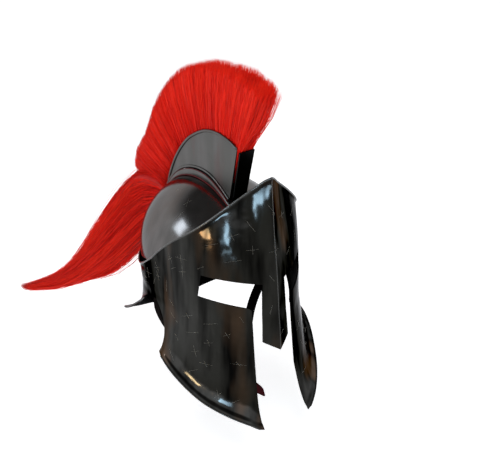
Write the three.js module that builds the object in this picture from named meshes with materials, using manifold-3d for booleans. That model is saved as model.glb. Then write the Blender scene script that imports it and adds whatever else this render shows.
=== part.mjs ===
// Crested helmet of the Corinthian type: a one-piece mask, a skull dome set inside it,
// a metal crest holder and a horsehair crest with a long tail.
// Millimetres, +Z up, the face looks toward -Y, the wearer's left is +X.
// Heights are measured from the tips of the cheek guards. At the end the whole part is
// lowered, so that the origin is the underside of the crown, where the head bears.
import * as THREE from "three";
import { mergeVertices } from "three/addons/utils/BufferGeometryUtils.js";
import Module from "manifold-3d";

const wasm = await Module();
wasm.setup();

// Overall sizes
const PEAK_HEIGHT = 308; // cheek tips to the point of the raised front rim
const HALF_WIDTH = 92; // middle to temple, outside
const FRONT_REACH = 116; // middle to the ridge at brow level
const BACK_REACH = 113; // middle to the back, outside
const RIDGE = 3; // how far the centre ridge stands proud
const RIDGE_HALF = 18; // half width of the ridge's foot
const GAP = 0.3; // clearance between pieces that touch
const SIDES = 72; // columns round the mask
const DOME_SIDES = 40;

// Mask
const SHEET = 1.6;
const RIM_TURN = 1.8; // how far the upper rim is turned out
const RIM_ROLL = 2.4; // thickness of the rolled upper rim
const LIP_FLARE = 12; // how far the lower edge of the cheeks is turned out
const LIP_ROLL = 2.8; // thickness of the rolled lower lip
const NECK_FLARE = 25; // how far the neck guard turns out
const LIP_DECAY = 17; // height in which the cheeks' flare fades
const NECK_DECAY = 5; // the same at the neck guard
const CHEEK_SPREAD = 11; // how far the left cheek is bent out at its tip
const SPREAD_HEIGHT = 125; // height at which that bend begins
const SPREAD_SOON = 3; // above 1, the bend is whole well short of the cheek's side
const LIP_STEP = 4; // spacing of the first rows above the lower edge

// Face opening, as heights above the cheek tips and distances from the middle
const EYE_TOP_INNER = 0.588 * PEAK_HEIGHT;
const EYE_TOP_OUTER = 0.615 * PEAK_HEIGHT;
const EYE_BOTTOM_INNER = 0.492 * PEAK_HEIGHT;
const EYE_BOTTOM_OUTER = 0.524 * PEAK_HEIGHT;
const EYE_OUTER = 0.777 * HALF_WIDTH;
const EYE_CORNER_RADIUS = 3;
const SLOT_HALF = 27; // middle to the front edge of a cheek
const TIP_HALF = 26; // the same at the tips
const NASAL_TOP_HALF = 15;
const NASAL_HALF = 17.5;
const NASAL_CORNER_HEIGHT = 0.347 * PEAK_HEIGHT;
const NASAL_TIP_HEIGHT = 0.312 * PEAK_HEIGHT;

// Ear notch, as a bite in the side: front and back of the bite, and its top
const NOTCH_FRONT = -24;
const NOTCH_BACK = 44;
const NOTCH_TOP = 0.425 * PEAK_HEIGHT;
const NOTCH_TOP_AT = -2;
const CHEEK_CORNER_HEIGHT = 0.201 * PEAK_HEIGHT;
const CHEEK_CORNER_AT = -13;

// Skull dome
const DOME_SHEET = 1.6;
const DOME_CENTRE_Y = 6;
const DOME_LEVEL = 0.5617 * PEAK_HEIGHT; // height of the widest level
const DOME_RISE = 0.2922 * PEAK_HEIGHT;
const CROWN_HEIGHT = DOME_LEVEL + DOME_RISE;
const DOME_SKIRT = 31; // straight wall below the widest level, at the back
const DOME_FRONT_EDGE = DOME_LEVEL + 15; // height of the dome's lower edge at the front
const DOME_EDGE_RISE = 1.6; // above 1, that edge is level round the front
const DOME_CLEARANCE = 2; // how much narrower the dome is than the mask's hollow, a side
const DOME_HALF_WIDTH = HALF_WIDTH - SHEET - DOME_CLEARANCE;
const DOME_BACK = BACK_REACH - SHEET - DOME_CLEARANCE - DOME_CENTRE_Y;
const DOME_FRONT = FRONT_REACH - 14;

// Crest holder
const BAND_HALF = 15;
const BAND_THICKNESS = 9; // at its thickest, over the crown
const BAND_END_THICKNESS = 2.5;
const BAND_FRONT = 33; // degrees from the crown to the front end
const BAND_BACK = 80; // degrees from the crown to the back end
const BAND_TAPER = 1.15; // above 1, the band is already thin short of its ends
const BAND_STEPS = 26;
const BAND_EDGE = 0.45; // thickness at the band's rounded sides, as a share
const HOLDER_HALF = 10; // middle to the inner face of a side plate
const PLATE = 1.6;
const PLATE_ROLL = 3.4; // thickness of a side plate's rolled edge
const PLATE_FRONT = -FRONT_REACH / 2; // front end of the side plates' upper edge
const PLATE_BACK = BACK_REACH - 16;
const PLATE_TOP = CROWN_HEIGHT + 68;
const PLATE_FRONT_TURN = -27; // where the plates leave the band, from the crown
const PLATE_BACK_TURN = 60;
const PLATE_STEPS = 18; // stations along a side plate's edges
const SCREW_HEAD = 3.2; // radius
const SCREW_TOP = 0.7; // the head's top against its foot
const SCREW_RISE = 1.6;
const SCREW_FRONT_TURN = -30.5;
const FRONT_PLATE_HALF = 9;
const FRONT_PLATE_TOP_HALF = 9.8;
const FRONT_PLATE_TOP = PLATE_TOP - 9;
const FRONT_PLATE_AHEAD = 2; // gap in plan between the side plates and the front plate

// Hair
const PLUME_TOP = PLATE_TOP + 88;
const PLUME_HALF = 15; // half thickness near the ends of the hair
const FAN_LOCKS = 17;
const FAN_LOCK_HALF = 13;
const FAN_FRONT = -20; // turn of the first lock from the crown
const FAN_BACK = 69;
const FAN_LEAN = 1.15; // how much further forward the front locks' tips are turned
const FAN_SHARE = 0.9; // reach above the crown against the plume's top
const TAIL_PARTING = 7; // degrees between the fan's last lock and the tail
const TAIL_ROOT_Y = BACK_REACH - 3;
const TAIL_REACH = BACK_REACH + 200; // middle to the tail's end
const TAIL_ASIDE = 141; // middle to the tail's end, to the wearer's right
const TAIL_TOP = DOME_LEVEL + 38;
const TAIL_END_HEIGHT = 8;
const TAIL_HALF = 11;
const TAIL_LOCK_HALF = 10.5;
const TAIL_SEAT_HALF = 8;
const TAIL_SEAT_RISE = 10;
const TAIL_STEPS = 8;
const TAIL_ROOT_SHARE = 0.75; // a lock's thickness at its root, as a share
const TAIL_TAPER = 2.4; // how soon a lock has its full thickness, from its tip
const TAIL_TIP = 0.14; // a lock's thickness at its tip, as a share
const ROOM = 30; // size of the cutters that keep the hair off the metal
const ROOM_BEYOND = 25; // degrees past the band's back end that the hair keeps off the dome

// Chin strap
const STRAP = 2;
const STRAP_HALF = 7;
const STRAP_ANCHOR_HALF = HALF_WIDTH - 4.5;
const STRAP_ANCHOR_HEIGHT = 0.4545 * PEAK_HEIGHT;
const STRAP_STEPS = 4; // stations between two points of a strap's course
const STRAP_POINT = 3; // above 1, how near its end a pointed strap begins to narrow
const RIVET_HEAD = 4;
const RIVET_LEVEL = 0.97; // height against the strap's anchors
const RIVET_CROWN = 0.8; // the head's inner end against its seat
const RIVET_RISE = 1.6;
const ROUND_SIDES = 12; // of a screw or rivet head

const DARK = { color: 0x2b2a2b, roughness: 0.25, metalness: 1 };
const GREY = { color: 0x6d6a68, roughness: 0.28, metalness: 1 };
const RED = { color: 0xd82a1e, roughness: 0.7, metalness: 0 };
const LEATHER = { color: 0x2a1416, roughness: 0.6, metalness: 0 };

const shell = new THREE.Group();

const lerp = THREE.MathUtils.lerp;
const rad = THREE.MathUtils.degToRad;

// Reads a table as a smooth curve through its rows.
function smoothTable(table, key, name, at) {
  const last = table.length - 1;
  if (at <= table[0][key]) return table[0][name];
  if (at >= table[last][key]) return table[last][name];
  let i = 0;
  while (at > table[i + 1][key]) i++;
  const slope = (j) => {
    const [a, b] = [table[Math.max(j - 1, 0)], table[Math.min(j + 1, last)]];
    return (b[name] - a[name]) / (b[key] - a[key]);
  };
  const [p, q] = [table[i], table[i + 1]];
  const span = q[key] - p[key];
  const s = (at - p[key]) / span;
  const h = s * s * (3 - 2 * s);
  const m = s * (1 - s) * span;
  return lerp(p[name], q[name], h) + m * ((1 - s) * slope(i) - s * slope(i + 1));
}

function geometryOf(points, faces) {
  const geometry = new THREE.BufferGeometry();
  const numbers = points.flatMap((p) => [p.x, p.y, p.z]);
  geometry.setAttribute("position", new THREE.Float32BufferAttribute(numbers, 3));
  geometry.setIndex(faces.flat());
  return geometry;
}

function solidOf(geometry) {
  const bare = geometry.clone();
  for (const name of ["normal", "uv"]) bare.deleteAttribute(name);
  const merged = mergeVertices(bare, 1e-4);
  return new wasm.Manifold(
    new wasm.Mesh({
      numProp: 3,
      vertProperties: new Float32Array(merged.attributes.position.array),
      triVerts: new Uint32Array(merged.index.array),
    }),
  );
}

function geometryOfSolid(solid) {
  const mesh = solid.getMesh();
  const geometry = new THREE.BufferGeometry();
  const points = new THREE.Float32BufferAttribute(mesh.vertProperties, mesh.numProp);
  geometry.setAttribute("position", points);
  geometry.setIndex([...mesh.triVerts]);
  return geometry;
}

function addPiece(name, geometry, finish) {
  geometry.computeVertexNormals();
  const mesh = new THREE.Mesh(geometry, new THREE.MeshStandardMaterial(finish));
  mesh.name = name;
  shell.add(mesh);
  return mesh;
}

// Closed solid between two skins of points, each skin a list of rows of equal length.
// The rows close on themselves when ring is true.
function solidBetween(outer, inner, ring) {
  const rows = outer.length;
  const columns = outer[0].length;
  const points = [...outer.flat(), ...inner.flat()];
  const at = (skin, i, j) => skin * rows * columns + i * columns + (j % columns);
  const faces = [];
  const quad = (a, b, c, d) => faces.push([a, b, c], [a, c, d]);
  const spans = ring ? columns : columns - 1;
  for (let i = 0; i + 1 < rows; i++)
    for (let j = 0; j < spans; j++) {
      quad(at(0, i, j), at(0, i, j + 1), at(0, i + 1, j + 1), at(0, i + 1, j));
      quad(at(1, i, j), at(1, i + 1, j), at(1, i + 1, j + 1), at(1, i, j + 1));
    }
  for (let j = 0; j < spans; j++) {
    quad(at(0, 0, j), at(1, 0, j), at(1, 0, j + 1), at(0, 0, j + 1));
    const top = rows - 1;
    quad(at(0, top, j), at(0, top, j + 1), at(1, top, j + 1), at(1, top, j));
  }
  if (!ring)
    for (let i = 0; i + 1 < rows; i++) {
      quad(at(0, i, 0), at(0, i + 1, 0), at(1, i + 1, 0), at(1, i, 0));
      const end = columns - 1;
      quad(at(0, i, end), at(1, i, end), at(1, i + 1, end), at(0, i + 1, end));
    }
  return geometryOf(points, faces);
}

// Unit normal of a surface given as a function of two numbers.
function normalOf(surface, u, v) {
  const step = 1e-3;
  const along = surface(u + step, v).sub(surface(u - step, v));
  const up = surface(u, v + step).sub(surface(u, v - step));
  return along.cross(up).normalize();
}

// Mask, as a ring. A column's angle runs from 0 at the ridge to 180 at the back.
// Shares of the half width, front reach and back reach at heights that are shares of
// the peak height.
const MASK_SECTIONS = [
  { height: -0.05, width: 1.03, front: 1.19, back: 0.94, wedge: 0.2 },
  { height: 0.2, width: 1.03, front: 1.12, back: 0.94, wedge: 0.2 },
  { height: 0.31, width: 1.01, front: 1.09, back: 0.94, wedge: 0.2 },
  { height: 0.42, width: 0.985, front: 1.065, back: 0.965, wedge: 0.2 },
  { height: 0.46, width: 0.995, front: 1.05, back: 0.99, wedge: 0.2 },
  { height: 0.52, width: 1, front: 1.035, back: 1, wedge: 0.2 },
  { height: 0.65, width: 1, front: 1, back: 1, wedge: 0.22 },
  { height: 0.78, width: 1, front: 0.955, back: 1, wedge: 0.31 },
  { height: 1, width: 0.99, front: 0.9, back: 1, wedge: 0.62 },
];

// Upper rim: height as a share of the peak height.
const RIM_LINE = [
  { angle: 0, height: 1 },
  { angle: 4, height: 0.986 },
  { angle: 9, height: 0.96 },
  { angle: 24, height: 0.893 },
  { angle: 40, height: 0.824 },
  { angle: 56, height: 0.762 },
  { angle: 66, height: 0.726 },
  { angle: 79, height: 0.667 },
  { angle: 93, height: 0.593 },
  { angle: 105, height: 0.537 },
  { angle: 120, height: 0.497 },
  { angle: 180, height: 0.48 },
];

// Lower edge: height as a share of the peak height. Flare is a share of the lip flare
// on the cheeks and of the neck flare behind the notch.
const LOWER_LINE = [
  { angle: 0, height: -0.02, lip: 0.6, neck: 0 },
  { angle: 17, height: -0.014, lip: 0.85, neck: 0 },
  { angle: 24, height: 0.011, lip: 1, neck: 0 },
  { angle: 38, height: 0.05, lip: 1, neck: 0 },
  { angle: 51, height: 0.094, lip: 1, neck: 0 },
  { angle: 66, height: 0.17, lip: 1, neck: 0 },
  { angle: 75, height: 0.21, lip: 0.8, neck: 0 },
  { angle: 82, height: 0.212, lip: 0.3, neck: 0 },
  { angle: 95, height: 0.36, lip: 0, neck: 0 },
  { angle: 104, height: 0.383, lip: 0, neck: 0.05 },
  { angle: 113, height: 0.335, lip: 0, neck: 0.25 },
  { angle: 120, height: 0.285, lip: 0, neck: 0.7 },
  { angle: 128, height: 0.25, lip: 0, neck: 1 },
  { angle: 140, height: 0.2, lip: 0, neck: 1 },
  { angle: 152, height: 0.17, lip: 0, neck: 0.7 },
  { angle: 165, height: 0.15, lip: 0, neck: 0.35 },
  { angle: 180, height: 0.14, lip: 0, neck: 0.2 },
];

// Plan of the mask: an ellipse whose front half is drawn toward a straight-sided wedge.
function planPoint(angle, halfWidth, front, back, wedge) {
  const t = rad(angle);
  const [s, c] = [Math.sin(t), Math.cos(t)];
  if (c < 0) return new THREE.Vector2(halfWidth * s, -back * c);
  const straight = 1 - Math.abs(s);
  const ridge = RIDGE * Math.max(0, 1 - Math.abs(halfWidth * s) / RIDGE_HALF);
  return new THREE.Vector2(halfWidth * s, -front * lerp(c, straight, wedge) - ridge);
}

function foldAngle(angle) {
  const turned = ((angle % 360) + 360) % 360;
  return turned > 180 ? 360 - turned : turned;
}

function rimHeight(angle) {
  return PEAK_HEIGHT * smoothTable(RIM_LINE, "angle", "height", angle);
}

function lowerHeight(angle) {
  return PEAK_HEIGHT * smoothTable(LOWER_LINE, "angle", "height", angle);
}

function maskPoint(angle, height) {
  const side = foldAngle(angle);
  const share = height / PEAK_HEIGHT;
  const section = (name) => smoothTable(MASK_SECTIONS, "height", name, share);
  const [front, back] = [section("front") * FRONT_REACH, section("back") * BACK_REACH];
  const plan = planPoint(angle, section("width") * HALF_WIDTH, front, back, section("wedge"));
  const above = Math.max(height - lowerHeight(side), 0);
  const flare = (name) => smoothTable(LOWER_LINE, "angle", name, side);
  const lip = LIP_FLARE * flare("lip") * Math.exp(-above / LIP_DECAY);
  const neck = NECK_FLARE * flare("neck") * Math.exp(-above / NECK_DECAY);
  const below = Math.max(rimHeight(side) - height, 0);
  const turn = RIM_TURN * Math.exp(-below / RIM_TURN);
  const away = plan.clone().normalize().multiplyScalar(lip + neck + turn);
  const leftness = Math.min((SPREAD_SOON * Math.max(plan.x, 0)) / HALF_WIDTH, 1);
  const bend = CHEEK_SPREAD * leftness * Math.max(1 - height / SPREAD_HEIGHT, 0);
  const forward = Math.max(Math.cos(rad(angle)), 0);
  return new THREE.Vector3(plan.x + away.x + bend * forward, plan.y + away.y, height);
}

// Rows of the mask's sheet: a share of the height from lower edge to rim, plus steps
// up from the lower edge or down from the rim, and how rolled the sheet is there.
const MASK_ROWS = [
  { share: 0, steps: 0, lip: 1, rim: 0 },
  { share: 0, steps: 0.7, lip: 1, rim: 0 },
  { share: 0, steps: 1, lip: 0, rim: 0 },
  { share: 0, steps: 2.5, lip: 0, rim: 0 },
  { share: 0, steps: 4.5, lip: 0, rim: 0 },
  { share: 0.3, steps: 1.5, lip: 0, rim: 0 },
  { share: 0.55, steps: 0, lip: 0, rim: 0 },
  { share: 0.8, steps: 0, lip: 0, rim: 0 },
  { share: 1, steps: -1.8, lip: 0, rim: 0 },
  { share: 1, steps: -0.8, lip: 0, rim: 0.4 },
  { share: 1, steps: 0, lip: 0, rim: 1 },
];

function mask() {
  const outer = [];
  const inner = [];
  for (const row of MASK_ROWS) {
    const [outs, ins] = [[], []];
    for (let i = 0; i < SIDES; i++) {
      const angle = (i * 360) / SIDES;
      const side = foldAngle(angle);
      const [low, high] = [lowerHeight(side), rimHeight(side)];
      const height = lerp(low, high, row.share) + row.steps * LIP_STEP;
      const point = maskPoint(angle, height);
      const normal = normalOf(maskPoint, angle, height);
      const thick = SHEET + row.lip * (LIP_ROLL - SHEET) + row.rim * (RIM_ROLL - SHEET);
      outs.push(point);
      ins.push(point.clone().addScaledVector(normal, -thick));
    }
    outer.push(outs);
    inner.push(ins);
  }
  const sheet = solidOf(solidBetween(outer, inner, true));
  return geometryOfSolid(sheet.subtract(faceCutter()).subtract(notchCutter()));
}

// Cutter made of an outline in the front view, right through the front of the mask.
function faceCutter() {
  const side = [
    [NASAL_TOP_HALF, EYE_TOP_INNER],
    [EYE_OUTER - EYE_CORNER_RADIUS, EYE_TOP_OUTER],
    [EYE_OUTER, EYE_BOTTOM_OUTER],
    [SLOT_HALF + EYE_CORNER_RADIUS, EYE_BOTTOM_INNER],
    [SLOT_HALF, EYE_BOTTOM_INNER - EYE_CORNER_RADIUS],
    [SLOT_HALF, SPREAD_HEIGHT / 2],
    [SLOT_HALF, 0],
    [TIP_HALF, -SPREAD_HEIGHT / 2],
  ];
  const spread = (z) => CHEEK_SPREAD * Math.max(1 - (2 * z) / SPREAD_HEIGHT, 0);
  const nasal = [
    [NASAL_HALF, NASAL_CORNER_HEIGHT],
    [0, NASAL_TIP_HEIGHT],
    [-NASAL_HALF, NASAL_CORNER_HEIGHT],
  ];
  const mirrored = side.map(([x, z]) => [-x, z]).reverse();
  const left = side.map(([x, z]) => [x + (z < EYE_BOTTOM_INNER / 2 ? spread(z) : 0), z]);
  const outline = [...left, ...mirrored, ...nasal.reverse()];
  const shape = new THREE.Shape(outline.map(([x, z]) => new THREE.Vector2(x, z)));
  const depth = 2 * FRONT_REACH;
  const cutter = new THREE.ExtrudeGeometry(shape, { depth, bevelEnabled: false });
  cutter.rotateX(Math.PI / 2);
  cutter.translate(0, -SLOT_HALF, 0);
  return solidOf(cutter);
}

// Cutter made of an outline in the side view, right through both sides.
function notchCutter() {
  const shape = new THREE.Shape();
  shape.moveTo(CHEEK_CORNER_AT, CHEEK_CORNER_HEIGHT);
  shape.bezierCurveTo(
    NOTCH_FRONT, lerp(CHEEK_CORNER_HEIGHT, NOTCH_TOP, 0.35),
    NOTCH_FRONT, lerp(CHEEK_CORNER_HEIGHT, NOTCH_TOP, 0.7),
    NOTCH_TOP_AT, NOTCH_TOP,
  );
  shape.quadraticCurveTo(
    lerp(NOTCH_TOP_AT, NOTCH_BACK, 0.6), NOTCH_TOP,
    NOTCH_BACK, lerp(CHEEK_CORNER_HEIGHT, NOTCH_TOP, 0.6),
  );
  shape.lineTo(NOTCH_BACK, -CHEEK_CORNER_HEIGHT);
  shape.lineTo(CHEEK_CORNER_AT, -CHEEK_CORNER_HEIGHT);
  const depth = 4 * HALF_WIDTH;
  const cutter = new THREE.ExtrudeGeometry(shape, { depth, bevelEnabled: false, curveSegments: 8 });
  cutter.rotateX(Math.PI / 2);
  cutter.rotateZ(Math.PI / 2);
  cutter.translate(-depth / 2, 0, 0);
  return solidOf(cutter);
}

// Skull dome: an ellipsoid cap. Its lower edge is a straight wall at the back and
// rises to the brow at the front, so that the eye openings are clear.
function domePoint(angle, lift) {
  const up = rad(lift);
  const reach = Math.cos(up);
  const [s, c] = [Math.sin(rad(angle)), Math.cos(rad(angle))];
  const y = c > 0 ? -DOME_FRONT * c : -DOME_BACK * c;
  return new THREE.Vector3(
    DOME_HALF_WIDTH * s * reach,
    DOME_CENTRE_Y + y * reach,
    DOME_LEVEL + DOME_RISE * Math.sin(up),
  );
}

// Height of the dome's lower edge at an angle from the front.
function domeEdge(angle) {
  const frontness = (1 + Math.cos(rad(angle))) / 2;
  return lerp(DOME_LEVEL - DOME_SKIRT, DOME_FRONT_EDGE, Math.min(frontness * DOME_EDGE_RISE, 1));
}

// Rows of the dome as shares from its lower edge to just short of the crown.
const DOME_ROWS = [0, 0.04, 0.12, 0.24, 0.36, 0.48, 0.6, 0.72, 0.84, 0.93, 0.985];

function domeSkin(shrink) {
  const rows = [];
  const centre = new THREE.Vector3(0, DOME_CENTRE_Y, DOME_LEVEL);
  for (const share of DOME_ROWS) {
    const row = [];
    for (let j = 0; j < DOME_SIDES; j++) {
      const angle = (j * 360) / DOME_SIDES;
      const edge = domeEdge(angle);
      const start = Math.max(Math.asin((edge - DOME_LEVEL) / DOME_RISE), 0);
      const point = domePoint(angle, lerp(THREE.MathUtils.radToDeg(start), 90, share));
      const away = point.clone().sub(centre);
      if (share === 0 && edge < DOME_LEVEL) point.z = edge;
      row.push(point.addScaledVector(away.normalize(), -shrink));
    }
    rows.push(row);
  }
  return rows;
}

function skullDome() {
  const outer = capSolid(domeSkin(0), 0);
  const inner = capSolid(domeSkin(DOME_SHEET), DOME_SKIRT);
  return geometryOfSolid(outer.subtract(inner));
}

// Solid under a skin of rings, closed by a point at the crown and a floor.
function capSolid(rings, floorDrop) {
  const columns = rings[0].length;
  const points = rings.flat();
  const floor = rings[0].map((p) => new THREE.Vector3(p.x, p.y, p.z - floorDrop));
  const base = points.length;
  points.push(...floor);
  const crown = points.push(new THREE.Vector3(0, DOME_CENTRE_Y, rings.at(-1)[0].z)) - 1;
  const low = points.push(new THREE.Vector3(0, DOME_CENTRE_Y, floor[0].z)) - 1;
  const faces = [];
  const next = (j) => (j + 1) % columns;
  for (let j = 0; j < columns; j++) {
    for (let i = 0; i + 1 < rings.length; i++) {
      const [a, b] = [i * columns + j, i * columns + next(j)];
      faces.push([a, b, b + columns], [a, b + columns, a + columns]);
    }
    const top = (rings.length - 1) * columns;
    faces.push([top + j, top + next(j), crown]);
    faces.push([base + j, base + next(j), next(j)], [base + j, next(j), j]);
    faces.push([low, base + next(j), base + j]);
  }
  return solidOf(facingOut(geometryOf(points, faces)));
}

// The geometry with its faces pointing out.
function facingOut(geometry) {
  const p = geometry.attributes.position;
  const index = geometry.index.array;
  const corner = (k) => new THREE.Vector3().fromBufferAttribute(p, index[k]);
  let volume = 0;
  for (let k = 0; k < index.length; k += 3)
    volume += corner(k).dot(corner(k + 1).cross(corner(k + 2)));
  if (volume < 0)
    for (let k = 0; k < index.length; k += 3)
      [index[k + 1], index[k + 2]] = [index[k + 2], index[k + 1]];
  return geometry;
}

// Point over the dome's centre line. The turn is in degrees from the crown, positive
// to the back. The lift is the distance off the dome.
function crownPoint(turn, x, lift) {
  const reach = turn < 0 ? DOME_FRONT : DOME_BACK;
  const k = Math.sqrt(1 - (x / DOME_HALF_WIDTH) ** 2);
  const [s, c] = [Math.sin(rad(turn)) * k, Math.cos(rad(turn)) * k];
  const point = new THREE.Vector3(x, DOME_CENTRE_Y + reach * s, DOME_LEVEL + DOME_RISE * c);
  const slope = x / DOME_HALF_WIDTH ** 2;
  const normal = new THREE.Vector3(slope, s / reach, c / DOME_RISE).normalize();
  return point.addScaledVector(normal, lift);
}

// Thickness of the crest's base band: thickest over the crown, thin at both ends.
function bandLift(turn) {
  const end = turn < 0 ? -BAND_FRONT : BAND_BACK;
  const share = Math.min(Math.abs(turn / end) * BAND_TAPER, 1);
  return lerp(BAND_THICKNESS, BAND_END_THICKNESS, share * share * (3 - 2 * share));
}

function baseBand() {
  const across = [-1, -0.94, -0.5, 0, 0.5, 0.94, 1];
  const [top, under] = [[], []];
  for (let i = 0; i <= BAND_STEPS; i++) {
    const turn = lerp(-BAND_FRONT, BAND_BACK, i / BAND_STEPS);
    top.push(across.map((side) => {
      const edge = Math.abs(side) === 1 ? BAND_EDGE : 1;
      return crownPoint(turn, side * BAND_HALF, GAP + bandLift(turn) * edge);
    }));
    under.push(across.map((side) => crownPoint(turn, side * BAND_HALF, GAP)));
  }
  return facingOut(solidBetween(top, under, false));
}

// Upper edge of a side plate in the side view, as shares: back from the plate's front
// end to its back end, and up from the crown to the plate's top.
const PLATE_EDGE = [
  { back: 0, up: 0.93 },
  { back: 0.1, up: 0.985 },
  { back: 0.24, up: 1 },
  { back: 0.4, up: 0.93 },
  { back: 0.55, up: 0.76 },
  { back: 0.69, up: 0.53 },
  { back: 0.84, up: 0.14 },
  { back: 0.95, up: -0.28 },
  { back: 1, up: -0.55 },
];

// Points of a side plate in the side view, front to back: its upper edge, its lower edge,
// and the middle of the roll along the lower edge.
function plateEdges() {
  const [upper, lower, bead] = [[], [], []];
  for (let i = 0; i <= PLATE_STEPS; i++) {
    const back = i / PLATE_STEPS;
    const rise = (PLATE_TOP - CROWN_HEIGHT) * smoothTable(PLATE_EDGE, "back", "up", back);
    upper.push(new THREE.Vector2(lerp(PLATE_FRONT, PLATE_BACK, back), CROWN_HEIGHT + rise));
    const turn = lerp(PLATE_FRONT_TURN, PLATE_BACK_TURN, back);
    const over = (x, lift) => {
      const p = crownPoint(turn, x, bandLift(turn) + lift);
      return new THREE.Vector2(p.y, p.z);
    };
    lower.push(over(HOLDER_HALF, 2 * GAP));
    bead.push(over(HOLDER_HALF, 2 * GAP + PLATE_ROLL / 2));
  }
  return { upper, lower, bead };
}

// Rolled edge along a side plate's edge, given in the side view.
function rolledEdge(edge, side) {
  const radius = PLATE_ROLL / 2;
  const x = side * (HOLDER_HALF + radius);
  const last = edge.length - 1;
  const stations = edge.map((p, i) => {
    const [before, after] = [edge[Math.max(i - 1, 0)], edge[Math.min(i + 1, last)]];
    const along = after.clone().sub(before).normalize();
    return {
      centre: new THREE.Vector3(x, p.x, p.y),
      a: new THREE.Vector3(radius, 0, 0),
      b: new THREE.Vector3(0, -along.y, along.x).multiplyScalar(radius),
    };
  });
  return lockSolid(stations);
}

function sidePlate(side) {
  const { upper, lower, bead } = plateEdges();
  const shape = new THREE.Shape([...upper, ...lower.slice().reverse()]);
  const geometry = new THREE.ExtrudeGeometry(shape, { depth: PLATE, bevelEnabled: false });
  geometry.rotateX(Math.PI / 2);
  geometry.rotateZ(Math.PI / 2);
  geometry.translate(side > 0 ? HOLDER_HALF : -HOLDER_HALF - PLATE, 0, 0);
  const plate = solidOf(geometry).add(rolledEdge(upper, side)).add(rolledEdge(bead, side));
  return geometryOfSolid(plate);
}

// Leaning slab at the holder's front, as the front plate stands: from its foot on the
// band to a length past the plate's top, with its back face moved to the back.
function frontSlab(footHalf, topHalf, extra, depth, back) {
  const foot = crownPoint(PLATE_FRONT_TURN, 0, bandLift(PLATE_FRONT_TURN) + 2 * GAP);
  const rise = new THREE.Vector3(0, PLATE_FRONT, FRONT_PLATE_TOP).sub(foot);
  const length = rise.length() + extra;
  const outline = [[-footHalf, -extra], [footHalf, -extra], [topHalf, length], [-topHalf, length]];
  const shape = new THREE.Shape(outline.map(([x, y]) => new THREE.Vector2(x, y)));
  const slab = new THREE.ExtrudeGeometry(shape, { depth, bevelEnabled: false });
  slab.rotateX(Math.PI / 2 + Math.atan2(-rise.y, rise.z));
  slab.translate(0, foot.y - FRONT_PLATE_AHEAD + back, foot.z);
  return slab;
}

// Room that the hair leaves to the plates: ahead of the front plate's back face and
// outward of the side plates' inner faces.
function holderRoom() {
  const front = frontSlab(ROOM, ROOM, GAP, ROOM, GAP);
  const { upper, lower } = plateEdges();
  const raise = PLATE_ROLL / 2 + GAP;
  const shape = new THREE.Shape([
    ...upper.map((p) => new THREE.Vector2(p.x, p.y + raise)),
    new THREE.Vector2(upper.at(-1).x + ROOM, upper.at(-1).y),
    ...lower.reverse().map((p) => new THREE.Vector2(p.x, p.y - raise)),
    new THREE.Vector2(upper[0].x - GAP, upper[0].y),
  ]);
  const sides = [HOLDER_HALF - GAP, GAP - HOLDER_HALF - ROOM].map((x) => {
    const slab = new THREE.ExtrudeGeometry(shape, { depth: ROOM, bevelEnabled: false });
    slab.rotateX(Math.PI / 2);
    slab.rotateZ(Math.PI / 2);
    return slab.translate(x, 0, 0);
  });
  return unionOf([front, ...sides].map(solidOf));
}

// Round screw head seated on the base band.
function screw(turn) {
  const [foot, top] = [SCREW_HEAD, SCREW_HEAD * SCREW_TOP];
  const head = new THREE.CylinderGeometry(top, foot, SCREW_RISE, ROUND_SIDES);
  const seat = crownPoint(turn, 0, 0);
  const normal = crownPoint(turn, 0, 1).sub(seat).normalize();
  const axis = new THREE.Vector3(0, 1, 0);
  head.applyQuaternion(new THREE.Quaternion().setFromUnitVectors(axis, normal));
  const at = crownPoint(turn, 0, 2 * GAP + bandLift(turn) + SCREW_RISE / 2);
  head.translate(at.x, at.y, at.z);
  return head;
}

// Closed sweep of six-sided sections. A station has a centre and two half axes.
function lockSolid(stations) {
  const sides = 6;
  const points = [];
  for (const { centre, a, b } of stations)
    for (let k = 0; k < sides; k++) {
      const t = (k / sides) * 2 * Math.PI;
      points.push(centre.clone().addScaledVector(a, Math.cos(t)).addScaledVector(b, Math.sin(t)));
    }
  const faces = [];
  const at = (i, k) => i * sides + (k % sides);
  for (let i = 0; i + 1 < stations.length; i++)
    for (let k = 0; k < sides; k++) {
      faces.push([at(i, k), at(i, k + 1), at(i + 1, k + 1)]);
      faces.push([at(i, k), at(i + 1, k + 1), at(i + 1, k)]);
    }
  const first = points.push(stations[0].centre) - 1;
  const last = points.push(stations.at(-1).centre) - 1;
  const end = stations.length - 1;
  for (let k = 0; k < sides; k++) {
    faces.push([first, at(0, k + 1), at(0, k)]);
    faces.push([last, at(end, k), at(end, k + 1)]);
  }
  return solidOf(facingOut(geometryOf(points, faces)));
}

// Reach of the fan's hair from the dome's middle, by the turn from the crown to the
// back, as a share of the reach straight above the crown.
const FAN_REACH = [
  { turn: -26, reach: 1.17 },
  { turn: -15.5, reach: 1.138 },
  { turn: -7.4, reach: 1.082 },
  { turn: 2, reach: 1.03 },
  { turn: 13, reach: 0.985 },
  { turn: 24, reach: 0.935 },
  { turn: 41, reach: 0.858 },
  { turn: 56, reach: 0.822 },
  { turn: 70, reach: 0.845 },
];

// Half width along the fan and half thickness across it, as shares of the widest.
const FAN_LOCK = [
  { along: 0, width: 0.5, thick: 0.56 },
  { along: 0.3, width: 0.6, thick: 0.6 },
  { along: 0.6, width: 0.85, thick: 0.86 },
  { along: 0.9, width: 1, thick: 1 },
  { along: 1, width: 0.45, thick: 0.7 },
];

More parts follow.
